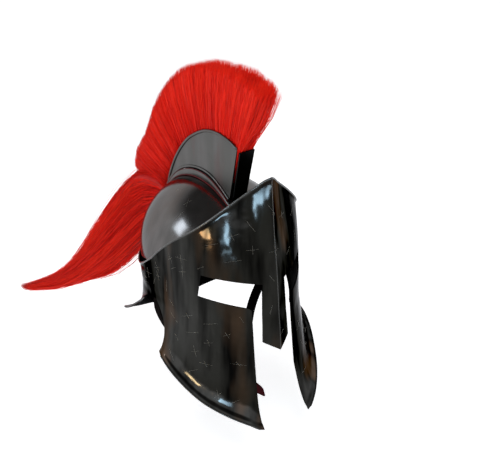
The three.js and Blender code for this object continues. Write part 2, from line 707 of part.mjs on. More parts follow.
// One lock of the fan, counted from the front, with its half widths swollen.
function fanLock(index, swell) {
  const turn = lerp(FAN_FRONT, FAN_BACK, index / (FAN_LOCKS - 1));
  const share = FAN_SHARE * smoothTable(FAN_REACH, "turn", "reach", turn);
  const reach = (PLUME_TOP - DOME_LEVEL) * share;
  const root = crownPoint(turn, 0, bandLift(turn) + 3 * GAP);
  const out = new THREE.Vector3(0, Math.sin(rad(turn)), Math.cos(rad(turn)));
  const lean = rad(turn < 0 ? turn * FAN_LEAN : turn);
  const aim = new THREE.Vector3(0, Math.sin(lean), Math.cos(lean));
  const tip = new THREE.Vector3(0, DOME_CENTRE_Y, DOME_LEVEL).addScaledVector(aim, reach);
  const along = new THREE.Vector3(0, out.z, -out.y);
  const stations = FAN_LOCK.map((row) => ({
    centre: root.clone().lerp(tip, row.along),
    a: along.clone().multiplyScalar(FAN_LOCK_HALF * row.width + swell),
    b: new THREE.Vector3(PLUME_HALF * row.thick + swell, 0, 0),
  }));
  return lockSolid(stations);
}

function unionOf(solids) {
  return solids.reduce((sum, solid) => sum.add(solid));
}

// The largest body of a solid, without the slivers that a cut leaves.
function mainBody(solid) {
  const bodies = solid.decompose();
  return bodies.reduce((best, body) => (body.volume() > best.volume() ? body : best));
}

function plume() {
  const locks = Array.from({ length: FAN_LOCKS }, (_, i) => fanLock(i, 0));
  const cut = unionOf(locks).subtract(solidOf(bandRoom())).subtract(holderRoom());
  return geometryOfSolid(mainBody(cut));
}

// Course of the tail, as shares: along the tail's reach to the back, aside to the
// wearer's right, and down from the tail's top to its end for the upper and lower edge.
const TAIL_COURSE = [
  { back: 0, aside: 0, upper: 0.05, lower: 0.2 },
  { back: 0.12, aside: 0.04, upper: -0.02, lower: 0.34 },
  { back: 0.29, aside: 0.14, upper: 0.01, lower: 0.55 },
  { back: 0.43, aside: 0.32, upper: 0.26, lower: 0.74 },
  { back: 0.6, aside: 0.51, upper: 0.61, lower: 0.87 },
  { back: 0.72, aside: 0.66, upper: 0.82, lower: 0.94 },
  { back: 0.86, aside: 0.83, upper: 0.92, lower: 1.01 },
  { back: 1, aside: 1, upper: 0.99, lower: 1.06 },
];

// Where each lock of the tail ends, from the lowest to the uppermost.
const TAIL_LOCKS = [
  { level: 0, end: 0.58 },
  { level: 0.17, end: 0.8 },
  { level: 0.34, end: 0.97 },
  { level: 0.5, end: 1 },
  { level: 0.67, end: 0.92 },
  { level: 0.84, end: 0.84 },
  { level: 1, end: 0.72 },
];

function tailPoint(back, level) {
  const read = (name) => smoothTable(TAIL_COURSE, "back", name, back);
  const fall = lerp(read("lower"), read("upper"), level);
  return new THREE.Vector3(
    -TAIL_ASIDE * read("aside"),
    TAIL_ROOT_Y + (TAIL_REACH - TAIL_ROOT_Y) * back,
    lerp(TAIL_TOP, TAIL_END_HEIGHT, fall),
  );
}

function tailLock({ level, end }) {
  const step = 0.01;
  const stations = [];
  for (let i = 0; i <= TAIL_STEPS; i++) {
    const share = i / TAIL_STEPS;
    const back = end * share;
    const centre = tailPoint(back, level);
    const behind = tailPoint(Math.max(back - step, 0), level);
    const ahead = tailPoint(back + step, level).sub(behind).normalize();
    const across = new THREE.Vector3(ahead.y, -ahead.x, 0).normalize();
    const up = across.clone().cross(ahead).normalize();
    const toTip = Math.min(1, (1 - share) * TAIL_TAPER + TAIL_TIP);
    const taper = Math.min(1, TAIL_ROOT_SHARE + share) * toTip;
    stations.push({
      centre,
      a: up.multiplyScalar(TAIL_LOCK_HALF * taper),
      b: across.multiplyScalar(TAIL_HALF * taper),
    });
  }
  return lockSolid(stations);
}

function plumeTail() {
  const seat = solidOf(facingOut(tailSeat()));
  const hair = unionOf([seat, ...TAIL_LOCKS.map(tailLock)]);
  const fanRoom = fanLock(FAN_LOCKS - 1, 2 * GAP).add(fanLock(FAN_LOCKS - 2, 2 * GAP));
  const cut = hair.subtract(solidOf(bandRoom())).subtract(fanRoom);
  return geometryOfSolid(mainBody(cut));
}

// Block of hair that sits on the back end of the base band.
function tailSeat() {
  const [top, under] = [[], []];
  for (let i = 0; i <= 4; i++) {
    const turn = lerp(FAN_BACK + TAIL_PARTING, BAND_BACK - 1, i / 4);
    const sides = [-TAIL_SEAT_HALF, 0, TAIL_SEAT_HALF];
    top.push(sides.map((x) => crownPoint(turn, x, bandLift(turn) + TAIL_SEAT_RISE)));
    under.push(sides.map((x) => crownPoint(turn, x, bandLift(turn) + 3 * GAP)));
  }
  return solidBetween(top, under, false);
}

// Room that the hair leaves to the band and the dome.
function bandRoom() {
  const [top, under] = [[], []];
  for (let i = 0; i <= BAND_STEPS; i++) {
    const turn = lerp(-BAND_FRONT, BAND_BACK + ROOM_BEYOND, i / BAND_STEPS);
    const sides = [-2 * TAIL_HALF, -TAIL_HALF, 0, TAIL_HALF, 2 * TAIL_HALF];
    const lift = bandLift(Math.min(turn, BAND_BACK)) + 3 * GAP;
    top.push(sides.map((x) => crownPoint(turn, x, lift)));
    under.push(sides.map((x) => crownPoint(turn, x, -TAIL_HALF)));
  }
  return facingOut(solidBetween(top, under, false));
}

// Chin strap: the points of the leather loop, seen from the front, as shares of the
// half width from the middle to the wearer's left, of the front reach, and of the
// height of its anchors.
const STRAP_COURSE = [
  { left: -1, ahead: 0.02, up: 1 },
  { left: -0.99, ahead: -0.03, up: 0.8 },
  { left: -0.93, ahead: 0.05, up: 0.64 },
  { left: -0.78, ahead: 0.22, up: 0.44 },
  { left: -0.5, ahead: 0.36, up: 0.24 },
  { left: -0.08, ahead: 0.42, up: 0.13 },
  { left: 0.17, ahead: 0.3, up: 0.36 },
  { left: 0.42, ahead: 0.15, up: 0.62 },
  { left: 0.77, ahead: 0.07, up: 0.87 },
  { left: 0.995, ahead: 0.03, up: 0.92 },
  { left: 1, ahead: 0.02, up: 1.02 },
];

const STRAP_BROAD = new THREE.Vector3(0, 1, 0);

const TONGUE_COURSE = [
  { left: -0.12, ahead: 0.49, up: 0.12 },
  { left: 0.12, ahead: 0.5, up: -0.04 },
  { left: 0.36, ahead: 0.46, up: -0.24 },
];

const TONGUE_BROAD = new THREE.Vector3(0.85, -0.53, 0);

// Flat band along a course. Its width runs along broad as nearly as the course lets it.
function ribbon(course, broad, pointed) {
  const points = course.map((row) => new THREE.Vector3(
    row.left * STRAP_ANCHOR_HALF, -row.ahead * FRONT_REACH, row.up * STRAP_ANCHOR_HEIGHT,
  ));
  const curve = new THREE.CatmullRomCurve3(points);
  const steps = STRAP_STEPS * (course.length - 1);
  const [face, back] = [[], []];
  for (let i = 0; i <= steps; i++) {
    const centre = curve.getPoint(i / steps);
    const ahead = curve.getTangent(i / steps);
    const across = broad.clone().addScaledVector(ahead, -ahead.dot(broad)).normalize();
    const normal = across.clone().cross(ahead).normalize();
    const toEnd = 1 - i / steps + GAP / STRAP_HALF;
    const half = STRAP_HALF * (pointed ? Math.min(1, toEnd * STRAP_POINT) : 1);
    const edge = (aside, lift) =>
      centre.clone().addScaledVector(across, aside).addScaledVector(normal, lift);
    face.push([edge(-half, STRAP / 2), edge(half, STRAP / 2)]);
    back.push([edge(-half, -STRAP / 2), edge(half, -STRAP / 2)]);
  }
  return facingOut(solidBetween(face, back, false));
}

// Rivet head on the inner face of the strap, near the strap's end.
function rivet(side) {
  const crown = RIVET_HEAD * RIVET_CROWN;
  const head = new THREE.CylinderGeometry(RIVET_HEAD, crown, RIVET_RISE, ROUND_SIDES);
  head.rotateZ((side * Math.PI) / 2);
  const x = side * (STRAP_ANCHOR_HALF - STRAP / 2 - 1.5 * GAP - RIVET_RISE / 2);
  head.translate(x, -STRAP_COURSE[0].ahead * FRONT_REACH, STRAP_ANCHOR_HEIGHT * RIVET_LEVEL);
  return head;
}

addPiece("mask", mask(), DARK);
addPiece("skull_dome", skullDome(), GREY);
addPiece("crest_base_band", baseBand(), GREY);
addPiece("crest_side_right", sidePlate(-1), GREY);
addPiece("crest_side_left", sidePlate(1), GREY);
addPiece("crest_front_plate", frontSlab(FRONT_PLATE_HALF, FRONT_PLATE_TOP_HALF, 0, PLATE, 0), DARK);
addPiece("crest_screw_front", screw(SCREW_FRONT_TURN), GREY);
addPiece("plume", plume(), RED);
addPiece("plume_tail", plumeTail(), RED);
addPiece("chin_strap", ribbon(STRAP_COURSE, STRAP_BROAD, false), LEATHER);
addPiece("strap_tongue", ribbon(TONGUE_COURSE, TONGUE_BROAD, true), LEATHER);
addPiece("strap_rivet_right", rivet(-1), GREY);
addPiece("strap_rivet_left", rivet(1), GREY);

// The head bears on the underside of the crown.
shell.position.z = DOME_SHEET - CROWN_HEIGHT;

export default shell;
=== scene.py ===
"""Looks of a crested helmet: a dark metal mask, a grey skull dome, a metal crest holder,
a red horsehair crest with a long tail, and a dark leather strap.

Lengths are millimetres and heights are measured from the tips of the cheek guards, as in
the part's own drawing. place() turns them into metres in the part's frame, whose origin
is the underside of the crown.
"""
import math

import bmesh
import bpy
import numpy as np
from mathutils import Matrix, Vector

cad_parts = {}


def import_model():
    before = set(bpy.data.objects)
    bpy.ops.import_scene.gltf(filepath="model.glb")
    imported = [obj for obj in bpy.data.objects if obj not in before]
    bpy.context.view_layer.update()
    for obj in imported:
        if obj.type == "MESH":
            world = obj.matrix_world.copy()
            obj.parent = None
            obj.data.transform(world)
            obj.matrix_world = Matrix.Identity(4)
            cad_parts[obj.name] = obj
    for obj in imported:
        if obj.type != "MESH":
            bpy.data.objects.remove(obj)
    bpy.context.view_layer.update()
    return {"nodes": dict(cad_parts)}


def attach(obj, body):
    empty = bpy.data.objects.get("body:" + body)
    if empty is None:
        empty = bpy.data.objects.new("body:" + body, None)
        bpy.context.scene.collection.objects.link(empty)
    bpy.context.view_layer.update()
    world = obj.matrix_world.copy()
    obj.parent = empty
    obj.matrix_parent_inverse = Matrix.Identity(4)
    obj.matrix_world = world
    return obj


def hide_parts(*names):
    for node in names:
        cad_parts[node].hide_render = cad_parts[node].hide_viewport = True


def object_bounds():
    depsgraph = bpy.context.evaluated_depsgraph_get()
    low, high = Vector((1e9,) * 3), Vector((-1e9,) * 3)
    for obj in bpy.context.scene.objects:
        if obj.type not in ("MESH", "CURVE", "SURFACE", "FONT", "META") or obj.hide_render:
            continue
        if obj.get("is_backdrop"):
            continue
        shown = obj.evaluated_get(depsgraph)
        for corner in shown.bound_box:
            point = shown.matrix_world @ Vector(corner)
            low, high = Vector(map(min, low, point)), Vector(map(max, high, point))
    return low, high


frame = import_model()

MM = 0.001
BODY = "root"

# Camera: the photograph's viewing angle, in metres and degrees
CAMERA_PLACE = (-0.566, -0.893, 0.5136)
CAMERA_AZIMUTH = -34.4
CAMERA_DOWN = 28.8
CAMERA_LENS = 72.1
FLOOR_DROP = 0.03  # how far the floor is below the lowest point of the helmet
FLOOR_GLOW = 0.6
WORLD_LIGHT = 1.0
HORIZON = (0.95, 0.96, 1)
UPPER_WALL = (0.9, 0.92, 0.95)
CEILING = (0.1, 0.1, 0.1)
FRONT_AZIMUTH = -40.0  # the way in which the studio is dim below the horizon
FRONT_DIM = (0.27, 0.27, 0.25)

# Overall sizes
PEAK_HEIGHT = 308.0
HALF_WIDTH = 92.0
FRONT_REACH = 116.0
BACK_REACH = 113.0
RIDGE = 3.0
RIDGE_HALF = 18.0
SHEET = 1.6

# Mask
RIM_TURN = 1.8
LIP_FLARE = 12.0
NECK_FLARE = 25.0
LIP_DECAY = 17.0
NECK_DECAY = 5.0
CHEEK_SPREAD = 11.0
SPREAD_HEIGHT = 125.0
LIP_STEP = 1.8  # outward step of the turned lower lip
LIP_STEP_HEIGHT = 5.5
RIM_BEAD = 1.1  # radius of the rolled upper rim
LIP_BEAD = 1.0
# thin light line down the ridge: a painted highlight along the crease
RIDGE_HIGHLIGHT_RADIUS = 0.4
LIP_STRETCHES = ((18.2, 79), (-79, -17.5), (107, 253))  # angles between the openings
MASK_COLUMNS = 400
MASK_ROWS = 74

# Face opening
EYE_TOP_INNER = 0.588 * PEAK_HEIGHT
EYE_TOP_OUTER = 0.615 * PEAK_HEIGHT
EYE_BOTTOM_INNER = 0.492 * PEAK_HEIGHT
EYE_BOTTOM_OUTER = 0.524 * PEAK_HEIGHT
EYE_OUTER = 0.777 * HALF_WIDTH
EYE_CORNER = 3.0
SLOT_HALF = 27.0
TIP_HALF = 26.0
NASAL_TOP_HALF = 15.0
NASAL_HALF = 17.5
NASAL_CORNER_HEIGHT = 0.347 * PEAK_HEIGHT
NASAL_TIP_HEIGHT = 0.312 * PEAK_HEIGHT

# Neck guard's flare, below the crown's underside
FLANGE_TOP = -110.0
FLANGE_LOW = -125.0

# Ear notch
NOTCH_FRONT = -24.0
NOTCH_BACK = 44.0
NOTCH_TOP = 0.425 * PEAK_HEIGHT
NOTCH_TOP_AT = -2.0
CHEEK_CORNER_HEIGHT = 0.201 * PEAK_HEIGHT
CHEEK_CORNER_AT = -13.0

# Skull dome
DOME_CLEARANCE = 2.0
DOME_CENTRE_Y = 6.0
DOME_LEVEL = 0.5617 * PEAK_HEIGHT
DOME_RISE = 0.2922 * PEAK_HEIGHT
DOME_SKIRT = 31.0
DOME_FRONT_EDGE = DOME_LEVEL + 15
DOME_EDGE_RISE = 1.6  # above 1, how soon the edge reaches its front height
DOME_HALF_WIDTH = HALF_WIDTH - SHEET - DOME_CLEARANCE
DOME_BACK = BACK_REACH - SHEET - DOME_CLEARANCE - DOME_CENTRE_Y
DOME_FRONT = FRONT_REACH - 14
DOME_COLUMNS = 240
DOME_ROWS = 56
HEAD_SEAT = DOME_LEVEL + DOME_RISE - SHEET

# Crest holder
GAP = 0.3
BAND_HALF = 15.0
BAND_THICKNESS = 9.0
BAND_END_THICKNESS = 2.5
BAND_FRONT = 33.0
BAND_BACK = 80.0
BAND_TAPER = 1.15  # above 1, how soon the band thins towards its ends
BAND_EDGE = 0.45  # thickness at its long edges, against its middle
BAND_ROUNDING = 0.08  # share of half its breadth that the rounding takes
TRIM_FRONT = 0.97  # where the red trim starts, against the band's front
TRIM_RADIUS = 0.9
SEAM_RADIUS = 0.5
HOLDER_HALF = 10.0
PLATE_ROLL = 3.4
PLATE_FRONT = -FRONT_REACH / 2
PLATE_BACK = BACK_REACH - 16
PLATE_TOP = DOME_LEVEL + DOME_RISE + 68
FRONT_PLATE_TOP = PLATE_TOP - 9
FRONT_PLATE_AHEAD = 2.0
HAIR_ROOM = 3.0  # between the front plate and the hair behind it
HAIR_FREE = 1.1  # height against the front plate's, above which hair leans past it
PLATE_FRONT_TURN = -27.0
PLATE_BACK_TURN = 60.0

# Hair
PLUME_TOP = PLATE_TOP + 88
FAN_FRONT = -21.5
FAN_BACK = 69.0
FAN_TIP_FRONT = -23.5
FAN_TIP_BACK = 76.0
FAN_SHARE = 0.9
FAN_HALF = 13.0
FAN_PIECES = 2
FAN_STRANDS = 8000  # in each piece
FAN_STEPS = [0.12, 0.43, 0.75, 0.93, 1.0]
FAN_SKIN = 0.16  # how far in from the two sides most of the hair lies
FAN_FILLING = 0.35  # share of the hair that lies anywhere between the sides
FAN_ENDS = 0.12  # share of the hair at the front and back edges
FAN_LONGEST = 1.012
FAN_RAGGED = 0.02
FAN_TUFT = 0.006
FAN_WANDER = 1.1
FAN_BOW = 1.2
TAIL_ROOT_Y = BACK_REACH - 3
TAIL_REACH = BACK_REACH + 200
TAIL_ASIDE = 141.0
TAIL_TOP = DOME_LEVEL + 38
TAIL_END_HEIGHT = 8.0
TAIL_HALF = 11.0
TAIL_PIECES = 2
TAIL_STRANDS = 3200
TAIL_STEPS = [0, 0.12, 0.25, 0.38, 0.52, 0.66, 0.8, 0.92, 1.0]
TAIL_LOCKS = 14
TAIL_PULL = 0.75  # how far strands gather into locks at the tip
TAIL_LONGEST = 1.04
TAIL_RAGGED = 0.1
TAIL_LOOSE = 2.6
TAIL_TIP_LOOSE = 0.9
STRAND_RADIUS = 0.32

# Scratches, laid out by chance in the cells of a grid round the mask
SCRATCH_COLUMNS = 15
SCRATCH_ROWS = 7
SCRATCH_ANGLE = 108
SCRATCH_RADIUS = 0.1
DOME_SCRATCHES = 3  # on each side

rng = np.random.default_rng(11)


MASK_SECTIONS = {
    "height": [-0.05, 0.2, 0.31, 0.42, 0.46, 0.52, 0.65, 0.78, 1],
    "width": [1.03, 1.03, 1.01, 0.985, 0.995, 1, 1, 1, 0.99],
    "front": [1.19, 1.12, 1.09, 1.065, 1.05, 1.035, 1, 0.955, 0.9],
    "back": [0.94, 0.94, 0.94, 0.965, 0.99, 1, 1, 1, 1],
    "wedge": [0.2, 0.2, 0.2, 0.2, 0.2, 0.2, 0.22, 0.31, 0.62],
}
RIM_LINE = {
    "angle": [0, 4, 9, 24, 40, 56, 66, 79, 93, 105, 120, 180],
    "height": [1, 0.986, 0.96, 0.893, 0.824, 0.762, 0.726, 0.667, 0.593, 0.537, 0.497, 0.48],
}
LOWER_LINE = {
    "angle": [0, 17, 24, 38, 51, 66, 75, 82, 95, 104, 113, 120, 128, 140, 152, 165, 180],
    "height": [
        -0.02, -0.014, 0.011, 0.05, 0.094, 0.17, 0.21, 0.212,
        0.36, 0.383, 0.335, 0.285, 0.25, 0.2, 0.17, 0.15, 0.14,
    ],
    "lip": [0.6, 0.85, 1, 1, 1, 1, 0.8, 0.3, 0, 0, 0, 0, 0, 0, 0, 0, 0],
    "neck": [0, 0, 0, 0, 0, 0, 0, 0, 0, 0.05, 0.25, 0.7, 1, 1, 0.7, 0.35, 0.2],
}
PLATE_EDGE = {
    "back": [0, 0.1, 0.24, 0.4, 0.55, 0.69, 0.84, 0.95, 1],
    "up": [0.93, 0.985, 1, 0.93, 0.76, 0.53, 0.14, -0.28, -0.55],
}
FAN_REACH = {
    "turn": [-26, -15.5, -7.4, 2, 13, 24, 41, 56, 70],
    "reach": [1.165, 1.13, 1.08, 1.04, 0.99, 0.925, 0.842, 0.8, 0.837],
}
FAN_THICKNESS = {
    "along": [0, 0.3, 0.6, 0.9, 1],
    "thick": [0.56, 0.6, 0.86, 1, 0.95],
}
TAIL_COURSE = {
    "back": [0, 0.12, 0.29, 0.43, 0.6, 0.72, 0.86, 1],
    "aside": [0, 0.04, 0.14, 0.32, 0.51, 0.66, 0.83, 1],
    "upper": [0.05, -0.02, 0.01, 0.26, 0.61, 0.82, 0.92, 0.99],
    "lower": [0.2, 0.34, 0.55, 0.74, 0.87, 0.94, 1.01, 1.06],
}
TAIL_ENDS = {
    "level": [0, 0.17, 0.34, 0.5, 0.67, 0.84, 1],
    "end": [0.58, 0.8, 0.97, 1, 0.92, 0.84, 0.72],
}


def lerp(a, b, t):
    return a + (b - a) * t


def read(table, key, name, at):
    """A table's column read as a smooth curve through its rows."""
    x = np.array(table[key], float)
    y = np.array(table[name], float)
    last = len(x) - 1
    before = np.maximum(np.arange(len(x)) - 1, 0)
    after = np.minimum(np.arange(len(x)) + 1, last)
    slope = (y[after] - y[before]) / (x[after] - x[before])
    at = np.clip(np.asarray(at, float), x[0], x[-1])
    i = np.clip(np.searchsorted(x, at) - 1, 0, last - 1)
    span = x[i + 1] - x[i]
    s = (at - x[i]) / span
    blend = s * s * (3 - 2 * s)
    bulge = s * (1 - s) * span
    return lerp(y[i], y[i + 1], blend) + bulge * ((1 - s) * slope[i] - s * slope[i + 1])


def place(points):
    """Points in millimetres above the cheek tips, in metres in the part's frame."""
    return (np.asarray(points, float) - (0, 0, HEAD_SEAT)) * MM


def show(name, points, faces):
    """A mesh object from points in the helmet's millimetres."""
    mesh = bpy.data.meshes.new(name)
    corners = faces.shape[1]
    mesh.vertices.add(len(points))
    mesh.vertices.foreach_set("co", place(points).astype(np.float32).ravel())
    mesh.loops.add(faces.size)
    mesh.loops.foreach_set("vertex_index", faces.astype(np.int32).ravel())
    mesh.polygons.add(len(faces))
    mesh.polygons.foreach_set("loop_start", np.arange(0, faces.size, corners, dtype=np.int32))
    mesh.polygons.foreach_set("use_smooth", np.full(len(faces), True))
    mesh.update(calc_edges=True)
    obj = bpy.data.objects.new(name, mesh)
    bpy.context.scene.collection.objects.link(obj)
    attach(obj, BODY)
    return obj


def join_parts(parts):
    """Points and faces of several closed surfaces as one."""
    points, faces, base = [], [], 0
    for p, f in parts:
        points.append(p)
        faces.append(f + base)
        base += len(p)
    return np.concatenate(points), np.concatenate(faces)


def skins_solid(outer, inner, ring):
    """Closed surface between two skins, each an array of rows by columns by 3."""
    rows, columns = outer.shape[:2]
    points = np.concatenate([outer.reshape(-1, 3), inner.reshape(-1, 3)])
    index = np.arange(rows * columns).reshape(rows, columns)
    if ring:
        index = np.concatenate([index, index[:, :1]], axis=1)
    a, b, c, d = index[:-1, :-1], index[:-1, 1:], index[1:, 1:], index[1:, :-1]
    inside = rows * columns
    quads = [np.stack([a, b, c, d], -1).reshape(-1, 4)]
    quads.append(np.stack([a, d, c, b], -1).reshape(-1, 4) + inside)
    low, top = index[0], index[-1]
    quads.append(np.stack([low[:-1], low[:-1] + inside, low[1:] + inside, low[1:]], -1))
    quads.append(np.stack([top[:-1], top[1:], top[1:] + inside, top[:-1] + inside], -1))
    if not ring:
        left, right = index[:, 0], index[:, -1]
        quads.append(np.stack([left[:-1], left[1:], left[1:] + inside, left[:-1] + inside], -1))
        quads.append(np.stack([right[:-1], right[:-1] + inside, right[1:] + inside, right[1:]], -1))
    return points, np.concatenate(quads)


def facing_out(points, faces):
    """The surface with its faces turned outward."""
    p = points[faces]
    volume = np.einsum("ij,ij->", p[:, 0], np.cross(p[:, 1], p[:, 2]))
    return points, faces if volume > 0 else faces[:, ::-1]


def tube(path, radius, sides=10, closed=False):
    """Round bead swept along a path, tapered to a point at open ends."""
    ahead = np.gradient(path, axis=0)
    if closed:
        ahead = (np.roll(path, -1, 0) - np.roll(path, 1, 0)) / 2
    ahead /= np.linalg.norm(ahead, axis=1)[:, None]
    up = np.tile([0.0, 0.0, 1.0], (len(path), 1))
    steep = np.abs(ahead[:, 2]) > 0.95
    up[steep] = (0.0, 1.0, 0.0)
    side = np.cross(ahead, up)
    side /= np.linalg.norm(side, axis=1)[:, None]
    up = np.cross(side, ahead)
    turn = np.linspace(0, 2 * np.pi, sides, endpoint=False)
    r = np.full(len(path), radius)
    if not closed:
        r[[0, -1]] = radius * 0.3
    ring = side[:, None] * np.cos(turn)[None, :, None] + up[:, None] * np.sin(turn)[None, :, None]
    points = (path[:, None] + r[:, None, None] * ring).reshape(-1, 3)
    index = np.arange(len(path) * sides).reshape(-1, sides)
    index = np.concatenate([index, index[:, :1]], axis=1)
    if closed:
        index = np.concatenate([index, index[:1]], axis=0)
    a, b, c, d = index[:-1, :-1], index[:-1, 1:], index[1:, 1:], index[1:, :-1]
    faces = np.stack([a, b, c, d], -1).reshape(-1, 4)
    if not closed:
        fan = np.array([[0, k, k + 1, k + 2] for k in range(1, sides - 2, 2)])
        faces = np.concatenate([faces, index[0][fan][:, ::-1], index[-1][fan]])
    return points, faces


def camera():
    a, e = math.radians(CAMERA_AZIMUTH), math.radians(CAMERA_DOWN)
    ahead = Vector((-math.sin(a) * math.cos(e), math.cos(a) * math.cos(e), -math.sin(e)))
    data = bpy.data.cameras.new("camera")
    data.lens = CAMERA_LENS
    data.sensor_width = 36
    data.clip_start, data.clip_end = 0.01, 50
    obj = bpy.data.objects.new("camera", data)
    obj.location = CAMERA_PLACE
    obj.rotation_mode = "QUATERNION"
    obj.rotation_quaternion = ahead.to_track_quat("-Z", "Y")
    bpy.context.scene.collection.objects.link(obj)
    bpy.context.scene.camera = obj


camera()


def softbox(name, where, at, size, power, colour, mirrored=True):
    """Rectangular area light, in metres, that faces a point. Metal may mirror it or not."""
    data = bpy.data.lights.new(name, "AREA")
    data.shape = "RECTANGLE"
    data.size, data.size_y = size
    data.energy = power
    data.color = colour
    obj = bpy.data.objects.new(name, data)
    obj.visible_glossy = mirrored
    obj.location = where
    obj.rotation_mode = "QUATERNION"
    obj.rotation_quaternion = (Vector(at) - Vector(where)).to_track_quat("-Z", "Y")
    bpy.context.scene.collection.objects.link(obj)


def node(tree, kind, at=None, **inputs):
    """A shader node with its input values set, or linked where a value is a socket."""
    made = tree.nodes.new(kind)
    for name, value in (at or {}).items():
        setattr(made, name, value)
    for name, value in inputs.items():
        place_in = int(name[1:]) if name[1:].isdigit() else name.replace("_", " ")
        socket = made.inputs[place_in]
        if isinstance(value, bpy.types.NodeSocket):
            tree.links.new(value, socket)
        else:
            socket.default_value = value
    return made


def ramp(tree, factor, stops):
    """Colour ramp through (position, colour) stops."""
    made = tree.nodes.new("ShaderNodeValToRGB")
    tree.links.new(factor, made.inputs[0])
    elements = made.color_ramp.elements
    for i, (position, colour) in enumerate(stops):
        element = elements[i] if i < 2 else elements.new(position)
        element.position = position
        element.color = (*colour, 1)
    return made.outputs["Color"]


def mix(tree, factor, a, b):
    made = tree.nodes.new("ShaderNodeMix")
    made.data_type = "RGBA"
    for socket, value in zip((made.inputs[0], made.inputs[6], made.inputs[7]), (factor, a, b)):
        if isinstance(value, bpy.types.NodeSocket):
            tree.links.new(value, socket)
        elif isinstance(value, tuple):
            socket.default_value = (*value, 1)
        else:
            socket.default_value = value
    return made.outputs[2]


def material(name):
    made = bpy.data.materials.new(name)
    made.use_nodes = True
    return made, made.node_tree, made.node_tree.nodes["Principled BSDF"]


def noise(tree, scale, stretch=(1, 1, 1), detail=3.0):
    """Noise over the object's own metres, stretched by its three scales."""
    spot = tree.nodes.new("ShaderNodeTexCoord").outputs["Object"]
    mapping = node(tree, "ShaderNodeMapping", Vector=spot, Scale=stretch)
    made = node(tree, "ShaderNodeTexNoise", Vector=mapping.outputs[0], Scale=scale, Detail=detail)
    return made.outputs[0]


def level_of(tree, value, low, high):
    """0 to 1 as a value goes from low to high."""
    return node(tree, "ShaderNodeMapRange", _0=value, _1=low, _2=high).outputs[0]


def product(tree, *values):
    made = values[0]
    for value in values[1:]:
        made = node(tree, "ShaderNodeMath", at={"operation": "MULTIPLY"}, _0=made, _1=value).outputs[0]
    return made


def inner_face(tree):
    """1 where a surface looks towards the helmet's upright axis, which is where shade is painted inside
    the mask, and 0 elsewhere.
    """
    source = tree.nodes.new("ShaderNodeTexCoord")
    spot, normal = source.outputs["Object"], source.outputs["Normal"]
    flat = node(tree, "ShaderNodeVectorMath", at={"operation": "MULTIPLY"}, _0=spot, _1=(1, 1, 0))
    facing = node(
        tree, "ShaderNodeVectorMath", at={"operation": "DOT_PRODUCT"}, _0=flat.outputs[0], _1=normal,
    )
    return level_of(tree, facing.outputs["Value"], -0.002, -0.008)


def flange_face(tree):
    """1 on the upper face of the neck guard's flare, where the red plume's reflection is painted, and 0
    elsewhere.
    """
    source = tree.nodes.new("ShaderNodeTexCoord")
    spot = node(tree, "ShaderNodeSeparateXYZ", Vector=source.outputs["Object"]).outputs
    normal = node(tree, "ShaderNodeSeparateXYZ", Vector=source.outputs["Normal"]).outputs
    top, low = FLANGE_TOP * MM, FLANGE_LOW * MM
    return product(
        tree, level_of(tree, normal["Z"], 0.05, 0.4), level_of(tree, spot["Y"], 0.02, 0.03),
        level_of(tree, spot["Z"], top, low),
    )


def mask_metal(name, dark, light, tint_and_highlight, roughness, dents, edge):
    """The mask's sheet, black on the inside as painted shade, and dark red on the neck guard's flare as
    a painted reflection of the red plume.
    """
    made = metal(name, dark, light, tint_and_highlight, roughness, dents, edge)
    tree = made.node_tree
    shader = tree.nodes["Principled BSDF"]
    base, rough = (shader.inputs[socket].links[0].from_socket for socket in ("Base Color", "Roughness"))
    inside, flange = inner_face(tree), flange_face(tree)
    outside = mix(tree, flange, base, FLANGE_PAINTED_REFLECTION)
    tree.links.new(mix(tree, inside, outside, INSIDE_PAINTED_SHADE), shader.inputs["Base Color"])
    dull = node(tree, "ShaderNodeMath", at={"operation": "MAXIMUM"}, _0=inside, _1=flange).outputs[0]
    tree.links.new(level_of(tree, flange, 1, 0), shader.inputs["Metallic"])
    matt = product(tree, dull, DULL_ROUGHNESS)
    worn = node(tree, "ShaderNodeMath", at={"operation": "MAXIMUM"}, _0=rough, _1=matt)
    tree.links.new(worn.outputs[0], shader.inputs["Roughness"])
    return made


def metal(name, dark, light, tint_and_highlight, roughness, dents, edge):
    """Polished sheet: two tones and a tint in soft upright streaks, with faint dents. The streaks are
    partly the sheet's own tone and partly painted streaky reflections. The tint is partly the sheet's
    own brown and partly painted warm highlight.
    """
    made, tree, shader = material(name)
    tone_and_reflection_streaks = noise(tree, 55.0, (1, 1, 0.13))
    clouds = noise(tree, 20.0, (1, 1, 0.25))
    # dark and light streaks: partly the sheet's own tone, partly painted reflections
    base = ramp(tree, tone_and_reflection_streaks, [(0.38, dark), (0.64, light)])
    # tint patches: partly the sheet's own brown, partly painted warm highlight
    tint_and_highlight_patches = ramp(tree, clouds, [(0.5, (0, 0, 0)), (0.66, (1, 1, 1))])
    colour = mix(tree, tint_and_highlight_patches, base, tint_and_highlight)
    tree.links.new(colour, shader.inputs["Base Color"])
    shader.inputs["Metallic"].default_value = 1.0
    shader.inputs["Specular Tint"].default_value = (edge, edge, edge, 1)
    grain = noise(tree, 60.0)
    rough = node(tree, "ShaderNodeMapRange", _0=grain, _3=roughness * 0.75, _4=roughness * 1.35)
    tree.links.new(rough.outputs[0], shader.inputs["Roughness"])
    bump = node(tree, "ShaderNodeBump", Height=noise(tree, 16.0), Strength=dents, Distance=0.004)
    planished = noise(tree, 60.0, (1, 1, 0.3), 1.0)
    fine = node(
        tree, "ShaderNodeBump", Height=planished, Strength=dents, Distance=0.001, Normal=bump.outputs[0],
    )
    tree.links.new(fine.outputs[0], shader.inputs["Normal"])
    return made


